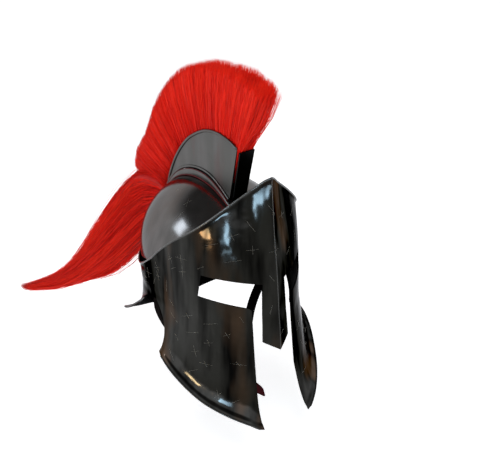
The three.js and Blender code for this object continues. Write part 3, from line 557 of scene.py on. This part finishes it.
def plain(name, colour, metallic, roughness, gloss=0.5):
    made, tree, shader = material(name)
    shader.inputs["Specular IOR Level"].default_value = gloss
    shade = ramp(tree, noise(tree, 140.0), [(0.3, tuple(0.75 * c for c in colour)), (0.7, colour)])
    tree.links.new(shade, shader.inputs["Base Color"])
    shader.inputs["Metallic"].default_value = metallic
    shader.inputs["Roughness"].default_value = roughness
    return made


def hair_material():
    made, tree, shader = material("red_hair")
    tone = node(tree, "ShaderNodeAttribute", at={"attribute_name": "tone"}).outputs["Fac"]
    # tone holds each strand's own red, darkened towards its root by painted shade
    stops = [(0.0, (0.24, 0.001, 0.001)), (0.4, (0.74, 0.009, 0.004)), (1.0, (0.98, 0.035, 0.013))]
    tree.links.new(ramp(tree, tone, stops), shader.inputs["Base Color"])
    shader.inputs["Roughness"].default_value = 0.5
    shader.inputs["Specular IOR Level"].default_value = 0.12
    return made


DULL_ROUGHNESS = 0.6  # inside the mask, where shade is painted, and on the flare, where the plume's reflection is painted
# painted reflection of the red plume: dark red on the neck guard's flare
FLANGE_PAINTED_REFLECTION = (0.1, 0.006, 0.009)
# painted shade: near-black colour on the mask's inner face
INSIDE_PAINTED_SHADE = (0.0015, 0.0015, 0.0015)
# the light tone and brown tint of the mask are partly painted reflections and warm highlights
DARK_STEEL = mask_metal(
    "dark_steel", (0.008, 0.008, 0.008), (0.06, 0.06, 0.056), (0.12, 0.08, 0.055), 0.1, 0.5, 0.35
)
GREY_STEEL = metal(
    "grey_steel", (0.12, 0.115, 0.11), (0.16, 0.15, 0.145), (0.15, 0.13, 0.12), 0.15, 0.1, 0.7
)
PLATE_STEEL = metal(
    "plate_steel", (0.12, 0.12, 0.112), (0.15, 0.145, 0.14), (0.14, 0.085, 0.08), 0.34, 0.1, 0.8
)
# lighter metal on the rolled edges and the ridge line: a painted highlight along them
EDGE_HIGHLIGHT_STEEL = plain("edge_highlight_steel", (0.13, 0.13, 0.125), 1.0, 0.25)
SCRATCH = plain("scratch_steel", (0.42, 0.4, 0.35), 1.0, 0.45)
BLACK_STEEL = plain("black_steel", (0.004, 0.004, 0.005), 1.0, 0.3)
TRIM = plain("red_trim", (0.09, 0.006, 0.007), 0.0, 0.6, 0.2)
LEATHER = plain("strap_leather", (0.004, 0.0025, 0.0025), 0.0, 0.95, 0.02)
TONGUE_LEATHER = plain("tongue_leather", (0.03, 0.003, 0.005), 0.0, 0.95, 0.02)
HAIR = hair_material()


def dress(obj, look, slot, *nodes):
    """Gives a piece its material, and hides the CAD nodes that it stands for; slot is not used."""
    obj.data.materials.clear()
    obj.data.materials.append(look)
    obj.data.polygons.foreach_set("material_index", np.zeros(len(obj.data.polygons), np.int32))
    if nodes:
        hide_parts(*nodes)
    return obj


def fold(angle):
    turned = np.mod(angle, 360)
    return np.where(turned > 180, 360 - turned, turned)


def rim_height(angle):
    return PEAK_HEIGHT * read(RIM_LINE, "angle", "height", fold(angle))


def lower_height(angle):
    return PEAK_HEIGHT * read(LOWER_LINE, "angle", "height", fold(angle))


def mask_point(angle, height):
    """The mask's outer face, by the angle from the ridge and the height."""
    side, share = fold(angle), height / PEAK_HEIGHT
    width, front, back, prow = (
        read(MASK_SECTIONS, "height", name, share) for name in ("width", "front", "back", "wedge")
    )
    s, c = np.sin(np.radians(angle)), np.cos(np.radians(angle))
    x = width * HALF_WIDTH * s
    ridge = RIDGE * np.maximum(0, 1 - np.abs(x) / RIDGE_HALF)
    ahead = front * FRONT_REACH * lerp(c, 1 - np.abs(s), prow) + ridge
    y = np.where(c < 0, -back * BACK_REACH * c, -ahead)
    above = np.maximum(height - lower_height(side), 0)
    lip_share = read(LOWER_LINE, "angle", "lip", side)
    step = LIP_STEP * lip_share / (1 + np.exp((above - LIP_STEP_HEIGHT) / 0.5))
    lip = LIP_FLARE * lip_share * np.exp(-above / LIP_DECAY)
    neck = NECK_FLARE * read(LOWER_LINE, "angle", "neck", side) * np.exp(-above / NECK_DECAY)
    below = np.maximum(rim_height(side) - height, 0)
    out = lip + step + neck + RIM_TURN * np.exp(-below / RIM_TURN)
    length = np.hypot(x, y)
    left = np.maximum(x, 0) / HALF_WIDTH
    bend = CHEEK_SPREAD * np.minimum(3 * left, 1) * np.maximum(1 - height / SPREAD_HEIGHT, 0)
    return np.stack([x + out * x / length + bend * np.maximum(c, 0), y + out * y / length, height], -1)


def normal_of(surface, u, v, step=0.05):
    along = surface(u + step, v) - surface(u - step, v)
    up = surface(u, v + step) - surface(u, v - step)
    normal = np.cross(along, up)
    return normal / np.linalg.norm(normal, axis=-1, keepdims=True)


def face_cutter():
    """Outline of the face opening in the front view, right through the mask's front."""
    side = np.array([
        (NASAL_TOP_HALF, EYE_TOP_INNER),
        (EYE_OUTER - EYE_CORNER, EYE_TOP_OUTER),
        (EYE_OUTER, EYE_BOTTOM_OUTER),
        (SLOT_HALF + EYE_CORNER, EYE_BOTTOM_INNER),
        (SLOT_HALF, EYE_BOTTOM_INNER - EYE_CORNER),
        (SLOT_HALF, SPREAD_HEIGHT / 2),
        (SLOT_HALF, 0),
        (TIP_HALF, -SPREAD_HEIGHT / 2),
    ])
    left = side.copy()
    low = left[:, 1] < EYE_BOTTOM_INNER / 2
    left[low, 0] += CHEEK_SPREAD * np.maximum(1 - 2 * left[low, 1] / SPREAD_HEIGHT, 0)
    right = (side * (-1, 1))[::-1]
    nasal = np.array([
        (-NASAL_HALF, NASAL_CORNER_HEIGHT), (0, NASAL_TIP_HEIGHT), (NASAL_HALF, NASAL_CORNER_HEIGHT),
    ])
    outline = np.concatenate([left, right, nasal])
    near = np.insert(outline, 1, -SLOT_HALF, axis=1)
    far = np.insert(outline, 1, -SLOT_HALF - 2 * FRONT_REACH, axis=1)
    return prism("face_cutter", near, far)


def bezier(points, steps):
    t = np.linspace(0, 1, steps)[:, None]
    while len(points) > 1:
        pairs = zip(points, points[1:])
        points = [lerp(np.asarray(p, float), np.asarray(q, float), t) for p, q in pairs]
    return points[0]


def notch_cutter():
    """Outline of the ear notches in the side view, right through both sides."""
    low, mid, high = (lerp(CHEEK_CORNER_HEIGHT, NOTCH_TOP, share) for share in (0.35, 0.6, 0.7))
    front = bezier([
        (CHEEK_CORNER_AT, CHEEK_CORNER_HEIGHT), (NOTCH_FRONT, low),
        (NOTCH_FRONT, high), (NOTCH_TOP_AT, NOTCH_TOP),
    ], 30)
    back = bezier([
        (NOTCH_TOP_AT, NOTCH_TOP), (lerp(NOTCH_TOP_AT, NOTCH_BACK, 0.6), NOTCH_TOP),
        (NOTCH_BACK, mid),
    ], 24)[1:]
    foot = np.array([(NOTCH_BACK, -CHEEK_CORNER_HEIGHT), (CHEEK_CORNER_AT, -CHEEK_CORNER_HEIGHT)])
    outline = np.concatenate([front, back, foot])
    near = np.insert(outline, 0, -2 * HALF_WIDTH, axis=1)
    far = np.insert(outline, 0, 2 * HALF_WIDTH, axis=1)
    return prism("notch_cutter", near, far)


def prism(name, near, far):
    """Closed prism between two like outlines."""
    count = len(near)
    mesh = bpy.data.meshes.new(name)
    sides = [(i, (i + 1) % count, count + (i + 1) % count, count + i) for i in range(count)]
    faces = [tuple(range(count))[::-1], tuple(range(count, 2 * count)), *sides]
    mesh.from_pydata(place(np.concatenate([near, far])).tolist(), [], faces)
    obj = bpy.data.objects.new(name, mesh)
    bpy.context.scene.collection.objects.link(obj)
    bpy.context.view_layer.update()
    work = bmesh.new()
    work.from_mesh(mesh)
    bmesh.ops.recalc_face_normals(work, faces=work.faces)
    work.to_mesh(mesh)
    work.free()
    return obj


def cut(obj, *cutters):
    """Takes the cutters' shapes out of a mesh object for good."""
    for cutter in cutters:
        modifier = obj.modifiers.new(cutter.name, "BOOLEAN")
        modifier.operation = "DIFFERENCE"
        modifier.solver = "MANIFOLD"
        modifier.object = cutter
    depsgraph = bpy.context.evaluated_depsgraph_get()
    mesh = bpy.data.meshes.new_from_object(obj.evaluated_get(depsgraph))
    obj.modifiers.clear()
    obj.data = mesh
    for cutter in cutters:
        bpy.data.objects.remove(cutter)


def mask():
    columns = np.arange(MASK_COLUMNS) * 360 / MASK_COLUMNS
    k = np.linspace(0, 1, MASK_ROWS)
    share = lerp(k, (1 - np.cos(np.pi * k)) / 2, 0.8)
    low, high = lower_height(columns), rim_height(columns)
    heights = lerp(low[None], high[None], share[:, None])
    angles = np.broadcast_to(columns, heights.shape)
    outer = mask_point(angles, heights)
    inner = outer - SHEET * normal_of(mask_point, angles, heights)
    obj = show("mask_shell", *facing_out(*skins_solid(outer, inner, True)))
    cut(obj, face_cutter(), notch_cutter())
    sharpen(obj)
    return dress(obj, DARK_STEEL, "dark_steel", "mask")


def sharpen(obj, degrees=32):
    """Keeps creases and cut edges crisp on a smooth-shaded mesh."""
    obj.data.set_sharp_from_angle(angle=math.radians(degrees))


def mask_edges():
    """Rolled bead along the upper rim and along the lower edge of cheeks and neck, and a thin line down
    the ridge, in a lighter metal that is a painted highlight. The ridge line is nothing but a painted
    highlight along the crease.
    """
    around = np.arange(0, 360, 1.0)
    rim = mask_point(around, rim_height(around) - 0.4)
    rim -= SHEET / 2 * normal_of(mask_point, around, rim_height(around) - 0.4)
    parts = [tube(rim, RIM_BEAD, closed=True)]
    # painted highlight: a thin light line down the crease of the ridge
    ridge = np.linspace(NASAL_TIP_HEIGHT + 1, PEAK_HEIGHT - 2, 90)
    parts.append(tube(mask_point(np.zeros(90), ridge), RIDGE_HIGHLIGHT_RADIUS, 8))
    for start, end in LIP_STRETCHES:
        angle = np.linspace(start, end, 140)
        path = mask_point(angle, lower_height(angle) + 0.3)
        parts.append(tube(path, LIP_BEAD))
    return dress(show("mask_rolled_edges_and_ridge_highlight", *join_parts(parts)), EDGE_HIGHLIGHT_STEEL, "dark_steel")


def dome_edge(angle):
    frontness = (1 + np.cos(np.radians(angle))) / 2
    return lerp(DOME_LEVEL - DOME_SKIRT, DOME_FRONT_EDGE, np.minimum(frontness * DOME_EDGE_RISE, 1))


def skull_dome():
    columns = np.arange(DOME_COLUMNS) * 360 / DOME_COLUMNS
    edge = dome_edge(columns)
    start = np.arcsin(np.clip((edge - DOME_LEVEL) / DOME_RISE, 0, 1))
    share = np.linspace(0, 0.995, DOME_ROWS)[:, None]
    lift = lerp(start[None], np.pi / 2, share)
    s, c = np.sin(np.radians(columns)), np.cos(np.radians(columns))
    y = np.where(c > 0, -DOME_FRONT * c, -DOME_BACK * c)
    reach = np.cos(lift)
    outer = np.stack([
        DOME_HALF_WIDTH * s * reach, DOME_CENTRE_Y + y * reach, DOME_LEVEL + DOME_RISE * np.sin(lift),
    ], -1)
    away = outer - (0, DOME_CENTRE_Y, DOME_LEVEL)
    away /= np.linalg.norm(away, axis=-1, keepdims=True)
    skirt = outer[:1].copy()
    skirt[..., 2] = np.minimum(edge, skirt[..., 2] - 0.5)
    outer = np.concatenate([skirt, outer])
    away = np.concatenate([away[:1], away])
    inner = outer - SHEET * away
    obj = show("skull_dome_shell", *facing_out(*capped_solid(outer, inner)))
    sharpen(obj)
    return dress(obj, GREY_STEEL, "grey_steel", "skull_dome")


def capped_solid(outer, inner):
    """Closed shell of rings whose last ring is filled on both skins."""
    rows, columns = outer.shape[:2]
    points = np.concatenate([outer.reshape(-1, 3), inner.reshape(-1, 3)])
    index = np.arange(rows * columns).reshape(rows, columns)
    index = np.concatenate([index, index[:, :1]], axis=1)
    a, b, c, d = index[:-1, :-1], index[:-1, 1:], index[1:, 1:], index[1:, :-1]
    inside = rows * columns
    low, top = index[0], index[-1]
    fan = np.array([[0, k, k + 1, k + 2] for k in range(1, columns - 2, 2)])
    quads = [
        np.stack([a, b, c, d], -1).reshape(-1, 4),
        np.stack([a, d, c, b], -1).reshape(-1, 4) + inside,
        np.stack([low[:-1], low[:-1] + inside, low[1:] + inside, low[1:]], -1),
        top[fan],
        top[fan][:, ::-1] + inside,
    ]
    return points, np.concatenate(quads)


def crown_point(turn, x, lift):
    """Point over the dome's centre line, by the turn from the crown to the back."""
    turn, x, lift = np.broadcast_arrays(*(np.asarray(v, float) for v in (turn, x, lift)))
    reach = np.where(turn < 0, DOME_FRONT, DOME_BACK)
    k = np.sqrt(1 - (x / DOME_HALF_WIDTH) ** 2)
    s, c = np.sin(np.radians(turn)) * k, np.cos(np.radians(turn)) * k
    point = np.stack([x, DOME_CENTRE_Y + reach * s, DOME_LEVEL + DOME_RISE * c], -1)
    normal = np.stack([x / DOME_HALF_WIDTH**2, s / reach, c / DOME_RISE], -1)
    normal /= np.linalg.norm(normal, axis=-1, keepdims=True)
    return point + normal * lift[..., None]


def band_lift(turn):
    end = np.where(np.asarray(turn) < 0, -BAND_FRONT, BAND_BACK)
    share = np.minimum(np.abs(turn / end) * BAND_TAPER, 1)
    return lerp(BAND_THICKNESS, BAND_END_THICKNESS, share * share * (3 - 2 * share))


def base_band():
    turn = np.linspace(-BAND_FRONT, BAND_BACK, 110)[:, None]
    across = np.sin(np.linspace(-np.pi / 2, np.pi / 2, 17))[None]
    rounding = lerp(BAND_EDGE, 1, np.minimum((1 - np.abs(across)) / BAND_ROUNDING, 1) ** 0.5)
    top = crown_point(turn, across * BAND_HALF, GAP + band_lift(turn) * rounding)
    under = crown_point(turn, across * BAND_HALF, GAP)
    band = show("crest_band", *facing_out(*skins_solid(top, under, False)))
    sharpen(band)
    dress(band, PLATE_STEEL, "grey_steel", "crest_base_band")
    line = np.linspace(-BAND_FRONT * TRIM_FRONT, BAND_BACK, 120)
    parts = [tube(crown_point(line, side * (BAND_HALF + 0.2), 1.0), TRIM_RADIUS) for side in (-1, 1)]
    lower = np.linspace(PLATE_FRONT_TURN, PLATE_BACK_TURN, 120)
    for side in (-1, 1):
        foot = crown_point(lower, side * (HOLDER_HALF + PLATE_ROLL), band_lift(lower) + SEAM_RADIUS)
        parts.append(tube(foot, SEAM_RADIUS))
    dress(show("crest_red_trim", *join_parts(parts)), TRIM, "red_hair")


def side_plate(side, name, cad_node):
    back = np.linspace(0, 1, 130)
    rise = (PLATE_TOP - DOME_LEVEL - DOME_RISE) * read(PLATE_EDGE, "back", "up", back)
    upper = np.stack([lerp(PLATE_FRONT, PLATE_BACK, back), DOME_LEVEL + DOME_RISE + rise], -1)
    turn = lerp(PLATE_FRONT_TURN, PLATE_BACK_TURN, back)
    lower = crown_point(turn, HOLDER_HALF, band_lift(turn) + 2 * GAP)[:, 1:]
    rows = np.linspace(0, 1, 14)[:, None, None]
    face = lerp(lower[None], upper[None], rows)
    inner_x, outer_x = side * HOLDER_HALF, side * (HOLDER_HALF + SHEET)
    outer = np.insert(face, 0, outer_x, axis=2)
    inner = np.insert(face, 0, inner_x, axis=2)
    radius = PLATE_ROLL / 2
    bead = crown_point(turn, HOLDER_HALF, band_lift(turn) + 2 * GAP + radius)[:, 1:]
    parts = [facing_out(*skins_solid(outer, inner, False))]
    for edge in (upper, bead):
        path = np.insert(edge, 0, side * (HOLDER_HALF + radius), axis=1)
        parts.append(facing_out(*tube(path, radius, 12)))
    obj = show(name, *join_parts(parts))
    sharpen(obj)
    return dress(obj, PLATE_STEEL, "grey_steel", cad_node)


def strands(name, paths, radius, tone, cad_nodes=()):
    """Closed three-sided strands that taper to a point. paths is strands by points by 3."""
    count, steps = paths.shape[:2]
    ahead = np.gradient(paths, axis=1)
    ahead /= np.linalg.norm(ahead, axis=-1, keepdims=True)
    side = np.cross(ahead, rng.normal(size=(count, 1, 3)))
    side /= np.linalg.norm(side, axis=-1, keepdims=True)
    up = np.cross(side, ahead)
    rings = steps - 1
    turn = np.arange(3) * 2 * np.pi / 3
    taper = lerp(1.0, 0.45, np.linspace(0, 1, steps))[None, :rings] * radius[:, None]
    offset = side[:, :rings, None] * np.cos(turn)[:, None] + up[:, :rings, None] * np.sin(turn)[:, None]
    ring_points = paths[:, :rings, None] + offset * taper[..., None, None]
    points = np.concatenate([ring_points.reshape(count, -1, 3), paths[:, -1:]], axis=1)
    per = 3 * rings + 1
    faces = [[0, 2, 1]]
    for i in range(rings - 1):
        for k in range(3):
            a, b = 3 * i + k, 3 * i + (k + 1) % 3
            faces += [[a, b, b + 3], [a, b + 3, a + 3]]
    last = 3 * (rings - 1)
    faces += [[last + k, last + (k + 1) % 3, 3 * rings] for k in range(3)]
    faces = (np.array(faces)[None] + (np.arange(count) * per)[:, None, None]).reshape(-1, 3)
    obj = show(name, points.reshape(-1, 3), faces)
    shade = obj.data.attributes.new("tone", "FLOAT", "POINT")
    # painted shade: the tone is darkened towards each strand's root
    along = np.concatenate([np.repeat(np.linspace(0, 1, steps)[:rings], 3), [1.0]])
    value = np.clip(tone[:, None] * lerp(0.55, 1.0, np.minimum(along * 2.2, 1))[None], 0, 1)
    shade.data.foreach_set("value", value.astype(np.float32).ravel())
    return dress(obj, HAIR, "red_hair", *cad_nodes)


def fan_path(across, depth, share, reach_share, wander):
    """Hair of the fan: across runs front to back, depth is sideways from -1 to 1."""
    root_turn = lerp(FAN_FRONT, FAN_BACK, across)
    tip_turn = lerp(FAN_TIP_FRONT, FAN_TIP_BACK, across) + wander
    reach = (PLUME_TOP - DOME_LEVEL) * FAN_SHARE * read(FAN_REACH, "turn", "reach", tip_turn)
    t = np.radians(tip_turn)
    centre = np.array([0, DOME_CENTRE_Y, DOME_LEVEL])
    tip = centre + np.stack([0 * t, np.sin(t), np.cos(t)], -1) * (reach * reach_share)[:, None]
    root = crown_point(root_turn, 0 * root_turn, band_lift(root_turn) + 3)
    path = lerp(root[:, None], tip[:, None], share[None, :, None])
    thick = FAN_HALF * read(FAN_THICKNESS, "along", "thick", share)
    path[..., 0] = depth[:, None] * thick[None]
    foot = crown_point(PLATE_FRONT_TURN, 0, band_lift(PLATE_FRONT_TURN))
    up = (path[..., 2] - foot[2]) / (FRONT_PLATE_TOP - foot[2])
    behind_plate = lerp(foot[1], PLATE_FRONT, np.clip(up, 0, 1)) - FRONT_PLATE_AHEAD + HAIR_ROOM
    path[..., 1] = np.where(up < HAIR_FREE, np.maximum(path[..., 1], behind_plate), path[..., 1])
    return path


def plume():
    share = np.array(FAN_STEPS)
    for piece in range(FAN_PIECES):
        n = FAN_STRANDS
        across = rng.uniform(0, 1, n)
        depth = np.sign(rng.uniform(-1, 1, n)) * (1 - np.abs(rng.normal(0, FAN_SKIN, n)))
        filling = rng.uniform(0, 1, n) < FAN_FILLING
        depth[filling] = rng.uniform(-1, 1, filling.sum())
        ends = rng.uniform(0, 1, n) < FAN_ENDS
        few = ends.sum()
        across[ends] = np.where(rng.uniform(0, 1, few) < 0.5, 0, 1) + rng.normal(0, 0.01, few)
        depth[ends] = rng.uniform(-1, 1, few)
        tuft = np.sin(across * 260) * 0.5 + np.sin(across * 97 + 1) * 0.5
        reach = FAN_LONGEST - np.abs(rng.normal(0, FAN_RAGGED, n)) + FAN_TUFT * tuft
        path = fan_path(across, depth, share, reach, rng.normal(0, FAN_WANDER, n))
        bow = rng.normal(0, FAN_BOW, (n, 1, 3)) * np.sin(np.pi * share)[None, :, None]
        tone = np.clip(0.62 + 0.16 * tuft + rng.normal(0, 0.18, n), 0, 1)
        radius = STRAND_RADIUS * rng.uniform(0.8, 1.25, n)
        strands(f"plume_hair_{piece + 1}", path + bow, radius, tone, ["plume"])
    rows = np.linspace(0, 1, 60)
    along = np.linspace(0.1, 0.93, 24)
    one = np.full(60, 0.985)
    across = lerp(0.02, 0.98, rows)
    sides = [fan_path(across, np.full(60, d), along, one, np.zeros(60)) for d in (-0.8, 0.8)]
    core = show("plume_core", *facing_out(*skins_solid(sides[0], sides[1], False)))
    return dress(core, plain("hair_core", (0.5, 0.006, 0.003), 0.0, 0.8), "red_hair", "plume")


def tail_point(back, level):
    aside, upper, lower = (read(TAIL_COURSE, "back", name, back) for name in ("aside", "upper", "lower"))
    fall = lerp(lower, upper, level)
    return np.stack([
        -TAIL_ASIDE * aside,
        lerp(TAIL_ROOT_Y, TAIL_REACH, back),
        lerp(TAIL_TOP, TAIL_END_HEIGHT, fall),
    ], -1)


def tail_path(level, depth, share, reach_share):
    end = read(TAIL_ENDS, "level", "end", level) * reach_share
    back = share[None] * end[:, None]
    centre = tail_point(back, np.broadcast_to(level[:, None], back.shape))
    ahead = np.gradient(centre, axis=1)
    across = np.stack([ahead[..., 1], -ahead[..., 0], 0 * ahead[..., 0]], -1)
    across /= np.linalg.norm(across, axis=-1, keepdims=True)
    taper = np.minimum(1, 0.7 + share) * np.minimum(1, (1.08 - share) * 1.6)
    return centre + across * (depth[:, None] * TAIL_HALF * taper[None])[..., None]


def plume_tail():
    share = np.array(TAIL_STEPS)
    for piece in range(TAIL_PIECES):
        n = TAIL_STRANDS
        turn = rng.uniform(0, 2 * np.pi, n)
        spread = np.sqrt(rng.uniform(0.35, 1, n))
        level = np.clip(0.5 + 0.5 * spread * np.sin(turn), 0, 1)
        depth = spread * np.cos(turn)
        reach = TAIL_LONGEST - np.abs(rng.normal(0, TAIL_RAGGED, n))
        path = tail_path(level, depth, share, reach)
        lock = np.round(level * TAIL_LOCKS) / TAIL_LOCKS
        pull = TAIL_PULL * share[None, :, None] ** 2
        path = lerp(path, tail_path(lock, depth * 0.8, share, reach), pull)
        loose = TAIL_LOOSE * np.sin(np.pi * share**1.3) + TAIL_TIP_LOOSE * share
        stray = rng.normal(0, 1, (n, 1, 3)) * (1, 1, 1.4) * loose[None, :, None]
        tone = np.clip(0.6 + 0.2 * np.sin(lock * 61) + rng.normal(0, 0.2, n), 0, 1)
        radius = STRAND_RADIUS * 1.15 * rng.uniform(0.8, 1.25, n)
        strands(f"tail_hair_{piece + 1}", path + stray, radius, tone, ["plume_tail"])
    along = np.linspace(0, 0.9, 60)
    levels = np.linspace(0.03, 0.97, 24)
    one = np.full(24, 0.9)
    sides = [tail_path(levels, np.full(24, d), along, one) for d in (-0.75, 0.75)]
    core = show("tail_core", *facing_out(*skins_solid(sides[0], sides[1], False)))
    return dress(core, bpy.data.materials["hair_core"], "red_hair", "plume_tail")


def scratches():
    """Small crossed scratches, as thin raised slivers on the mask's and dome's faces."""
    parts = dome_scratches()
    across, up = np.meshgrid(np.arange(SCRATCH_COLUMNS), np.arange(SCRATCH_ROWS))
    angle = SCRATCH_ANGLE * (2 * (across + rng.uniform(0.15, 0.85, across.shape)) / SCRATCH_COLUMNS - 1)
    share = lerp(0.05, 0.96, (up + rng.uniform(0.15, 0.85, up.shape)) / SCRATCH_ROWS)
    for a0, s0 in zip(angle.ravel(), share.ravel()):
        low, high = lower_height(a0), rim_height(a0)
        h0 = lerp(low, high, s0)
        for tilt in rng.choice([0, 90], rng.integers(1, 3), replace=False):
            way = math.radians(tilt + rng.normal(15, 14))
            half = rng.uniform(4, 9)
            t = np.linspace(-half, half, 9)
            a = a0 + np.degrees(t * math.cos(way) / HALF_WIDTH)
            h = h0 + t * math.sin(way)
            if (h < lower_height(a) + 8).any() or (h > rim_height(a) - 4).any():
                continue
            path = mask_point(a, h)
            if in_opening(path):
                continue
            parts.append(tube(path + 0.02 * normal_of(mask_point, a, h), SCRATCH_RADIUS, 4))
    return dress(show("scratches", *join_parts(parts)), SCRATCH, "dark_steel")


def dome_scratches():
    """The same on the sides of the dome."""
    parts = []
    for side in (-1, 1):
        turns = rng.uniform(-22, 34, DOME_SCRATCHES)
        outs = rng.uniform(0.35, 0.8, DOME_SCRATCHES) * side * DOME_HALF_WIDTH
        for turn, out in zip(turns, outs):
            for tilt in (0, 90):
                way = math.radians(tilt + rng.normal(30, 20))
                t = np.linspace(-1, 1, 9) * rng.uniform(3, 6)
                turned = turn + np.degrees(t * math.cos(way) / DOME_BACK)
                path = crown_point(turned, out + t * math.sin(way), 0.06)
                parts.append(tube(path, SCRATCH_RADIUS, 4))
    return parts


def in_opening(path, room=4):
    """Whether a path on the mask comes near the face opening or an ear notch."""
    x, y, z = np.abs(path[:, 0]), path[:, 1], path[:, 2]
    eye = (x > NASAL_TOP_HALF - room) & (x < EYE_OUTER + room)
    eye &= (z > EYE_BOTTOM_INNER - room) & (z < EYE_TOP_OUTER + room)
    slot = (x < SLOT_HALF + room) & (z < EYE_TOP_INNER + room) & (x > NASAL_HALF - room)
    slot |= (x < SLOT_HALF + room) & (z < NASAL_CORNER_HEIGHT + room)
    notch = (y > NOTCH_FRONT - room) & (y < NOTCH_BACK + room) & (z < NOTCH_TOP + room)
    return bool(((y < 0) & (eye | slot) | notch).any())


def floor():
    size = 12.0
    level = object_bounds()[0].z - FLOOR_DROP
    mesh = bpy.data.meshes.new("floor")
    corners = [(-size, -size, level), (size, -size, level), (size, size, level), (-size, size, level)]
    mesh.from_pydata(corners, [], [(0, 1, 2, 3)])
    obj = bpy.data.objects.new("floor", mesh)
    bpy.context.scene.collection.objects.link(obj)
    made, tree, shader = material("floor")
    shader.inputs["Base Color"].default_value = (0.9, 0.9, 0.9, 1)
    shader.inputs["Roughness"].default_value = 0.9
    shader.inputs["Emission Color"].default_value = (1, 1, 1, 1)
    shader.inputs["Emission Strength"].default_value = FLOOR_GLOW
    mesh.materials.append(made)
    obj.visible_glossy = False
    obj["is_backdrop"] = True


def world():
    """Soft studio light: bright round the horizon, dim overhead and low in front."""
    made = bpy.data.worlds.new("studio")
    made.use_nodes = True
    tree = made.node_tree
    way = tree.nodes.new("ShaderNodeTexCoord").outputs["Generated"]
    height = node(tree, "ShaderNodeSeparateXYZ", Vector=way).outputs["Z"]
    stops = [(0.0, HORIZON), (0.42, UPPER_WALL), (0.72, CEILING)]
    bright = ramp(tree, height, stops)
    turn = math.radians(FRONT_AZIMUTH)
    front = node(
        tree, "ShaderNodeVectorMath", at={"operation": "DOT_PRODUCT"},
        _0=way, _1=(math.sin(turn), -math.cos(turn), 0),
    )
    low_front = product(
        tree, level_of(tree, front.outputs["Value"], 0.3, 0.95), level_of(tree, height, -0.07, -0.16),
    )
    tree.links.new(mix(tree, low_front, bright, FRONT_DIM), tree.nodes["Background"].inputs["Color"])
    tree.nodes["Background"].inputs["Strength"].default_value = WORLD_LIGHT
    bpy.context.scene.world = made


def cad_looks():
    """Materials for the CAD nodes that are shown as they are."""
    looks = {
        "crest_front_plate": (BLACK_STEEL, "dark_steel"),
        "crest_screw_front": (PLATE_STEEL, "grey_steel"),
        "chin_strap": (LEATHER, "strap_leather"),
        "strap_tongue": (TONGUE_LEATHER, "strap_leather"),
        "strap_rivet_right": (GREY_STEEL, "grey_steel"),
        "strap_rivet_left": (GREY_STEEL, "grey_steel"),
    }
    for name, (look, slot) in looks.items():
        obj = frame["nodes"][name]
        obj.data.materials.clear()
        obj.data.materials.append(look)


mask()
mask_edges()
skull_dome()
base_band()
side_plate(-1, "side_plate_right", "crest_side_right")
side_plate(1, "side_plate_left", "crest_side_left")
plume()
plume_tail()
scratches()
cad_looks()
floor()
world()
softbox("window", (-1.42, 0.67, 0.88), (-0.066, -0.022, -0.034), (0.45, 0.55), 4.5, (0.75, 0.87, 1))
softbox("front_window", (-0.72, -0.75, -0.19), (0, 0, -0.15), (0.1, 0.15), 0.8, (0.5, 0.75, 1))
softbox("warm_lamp", (-0.89, -0.5, -0.19), (0, 0, -0.15), (0.09, 0.12), 0.9, (1, 0.74, 0.42))
softbox("overhead", (-0.5, -0.6, 2.0), (0, 0, 0), (1.4, 1.4), 24, (1, 1, 1), mirrored=False)
bpy.context.scene.view_settings.view_transform = "Standard"
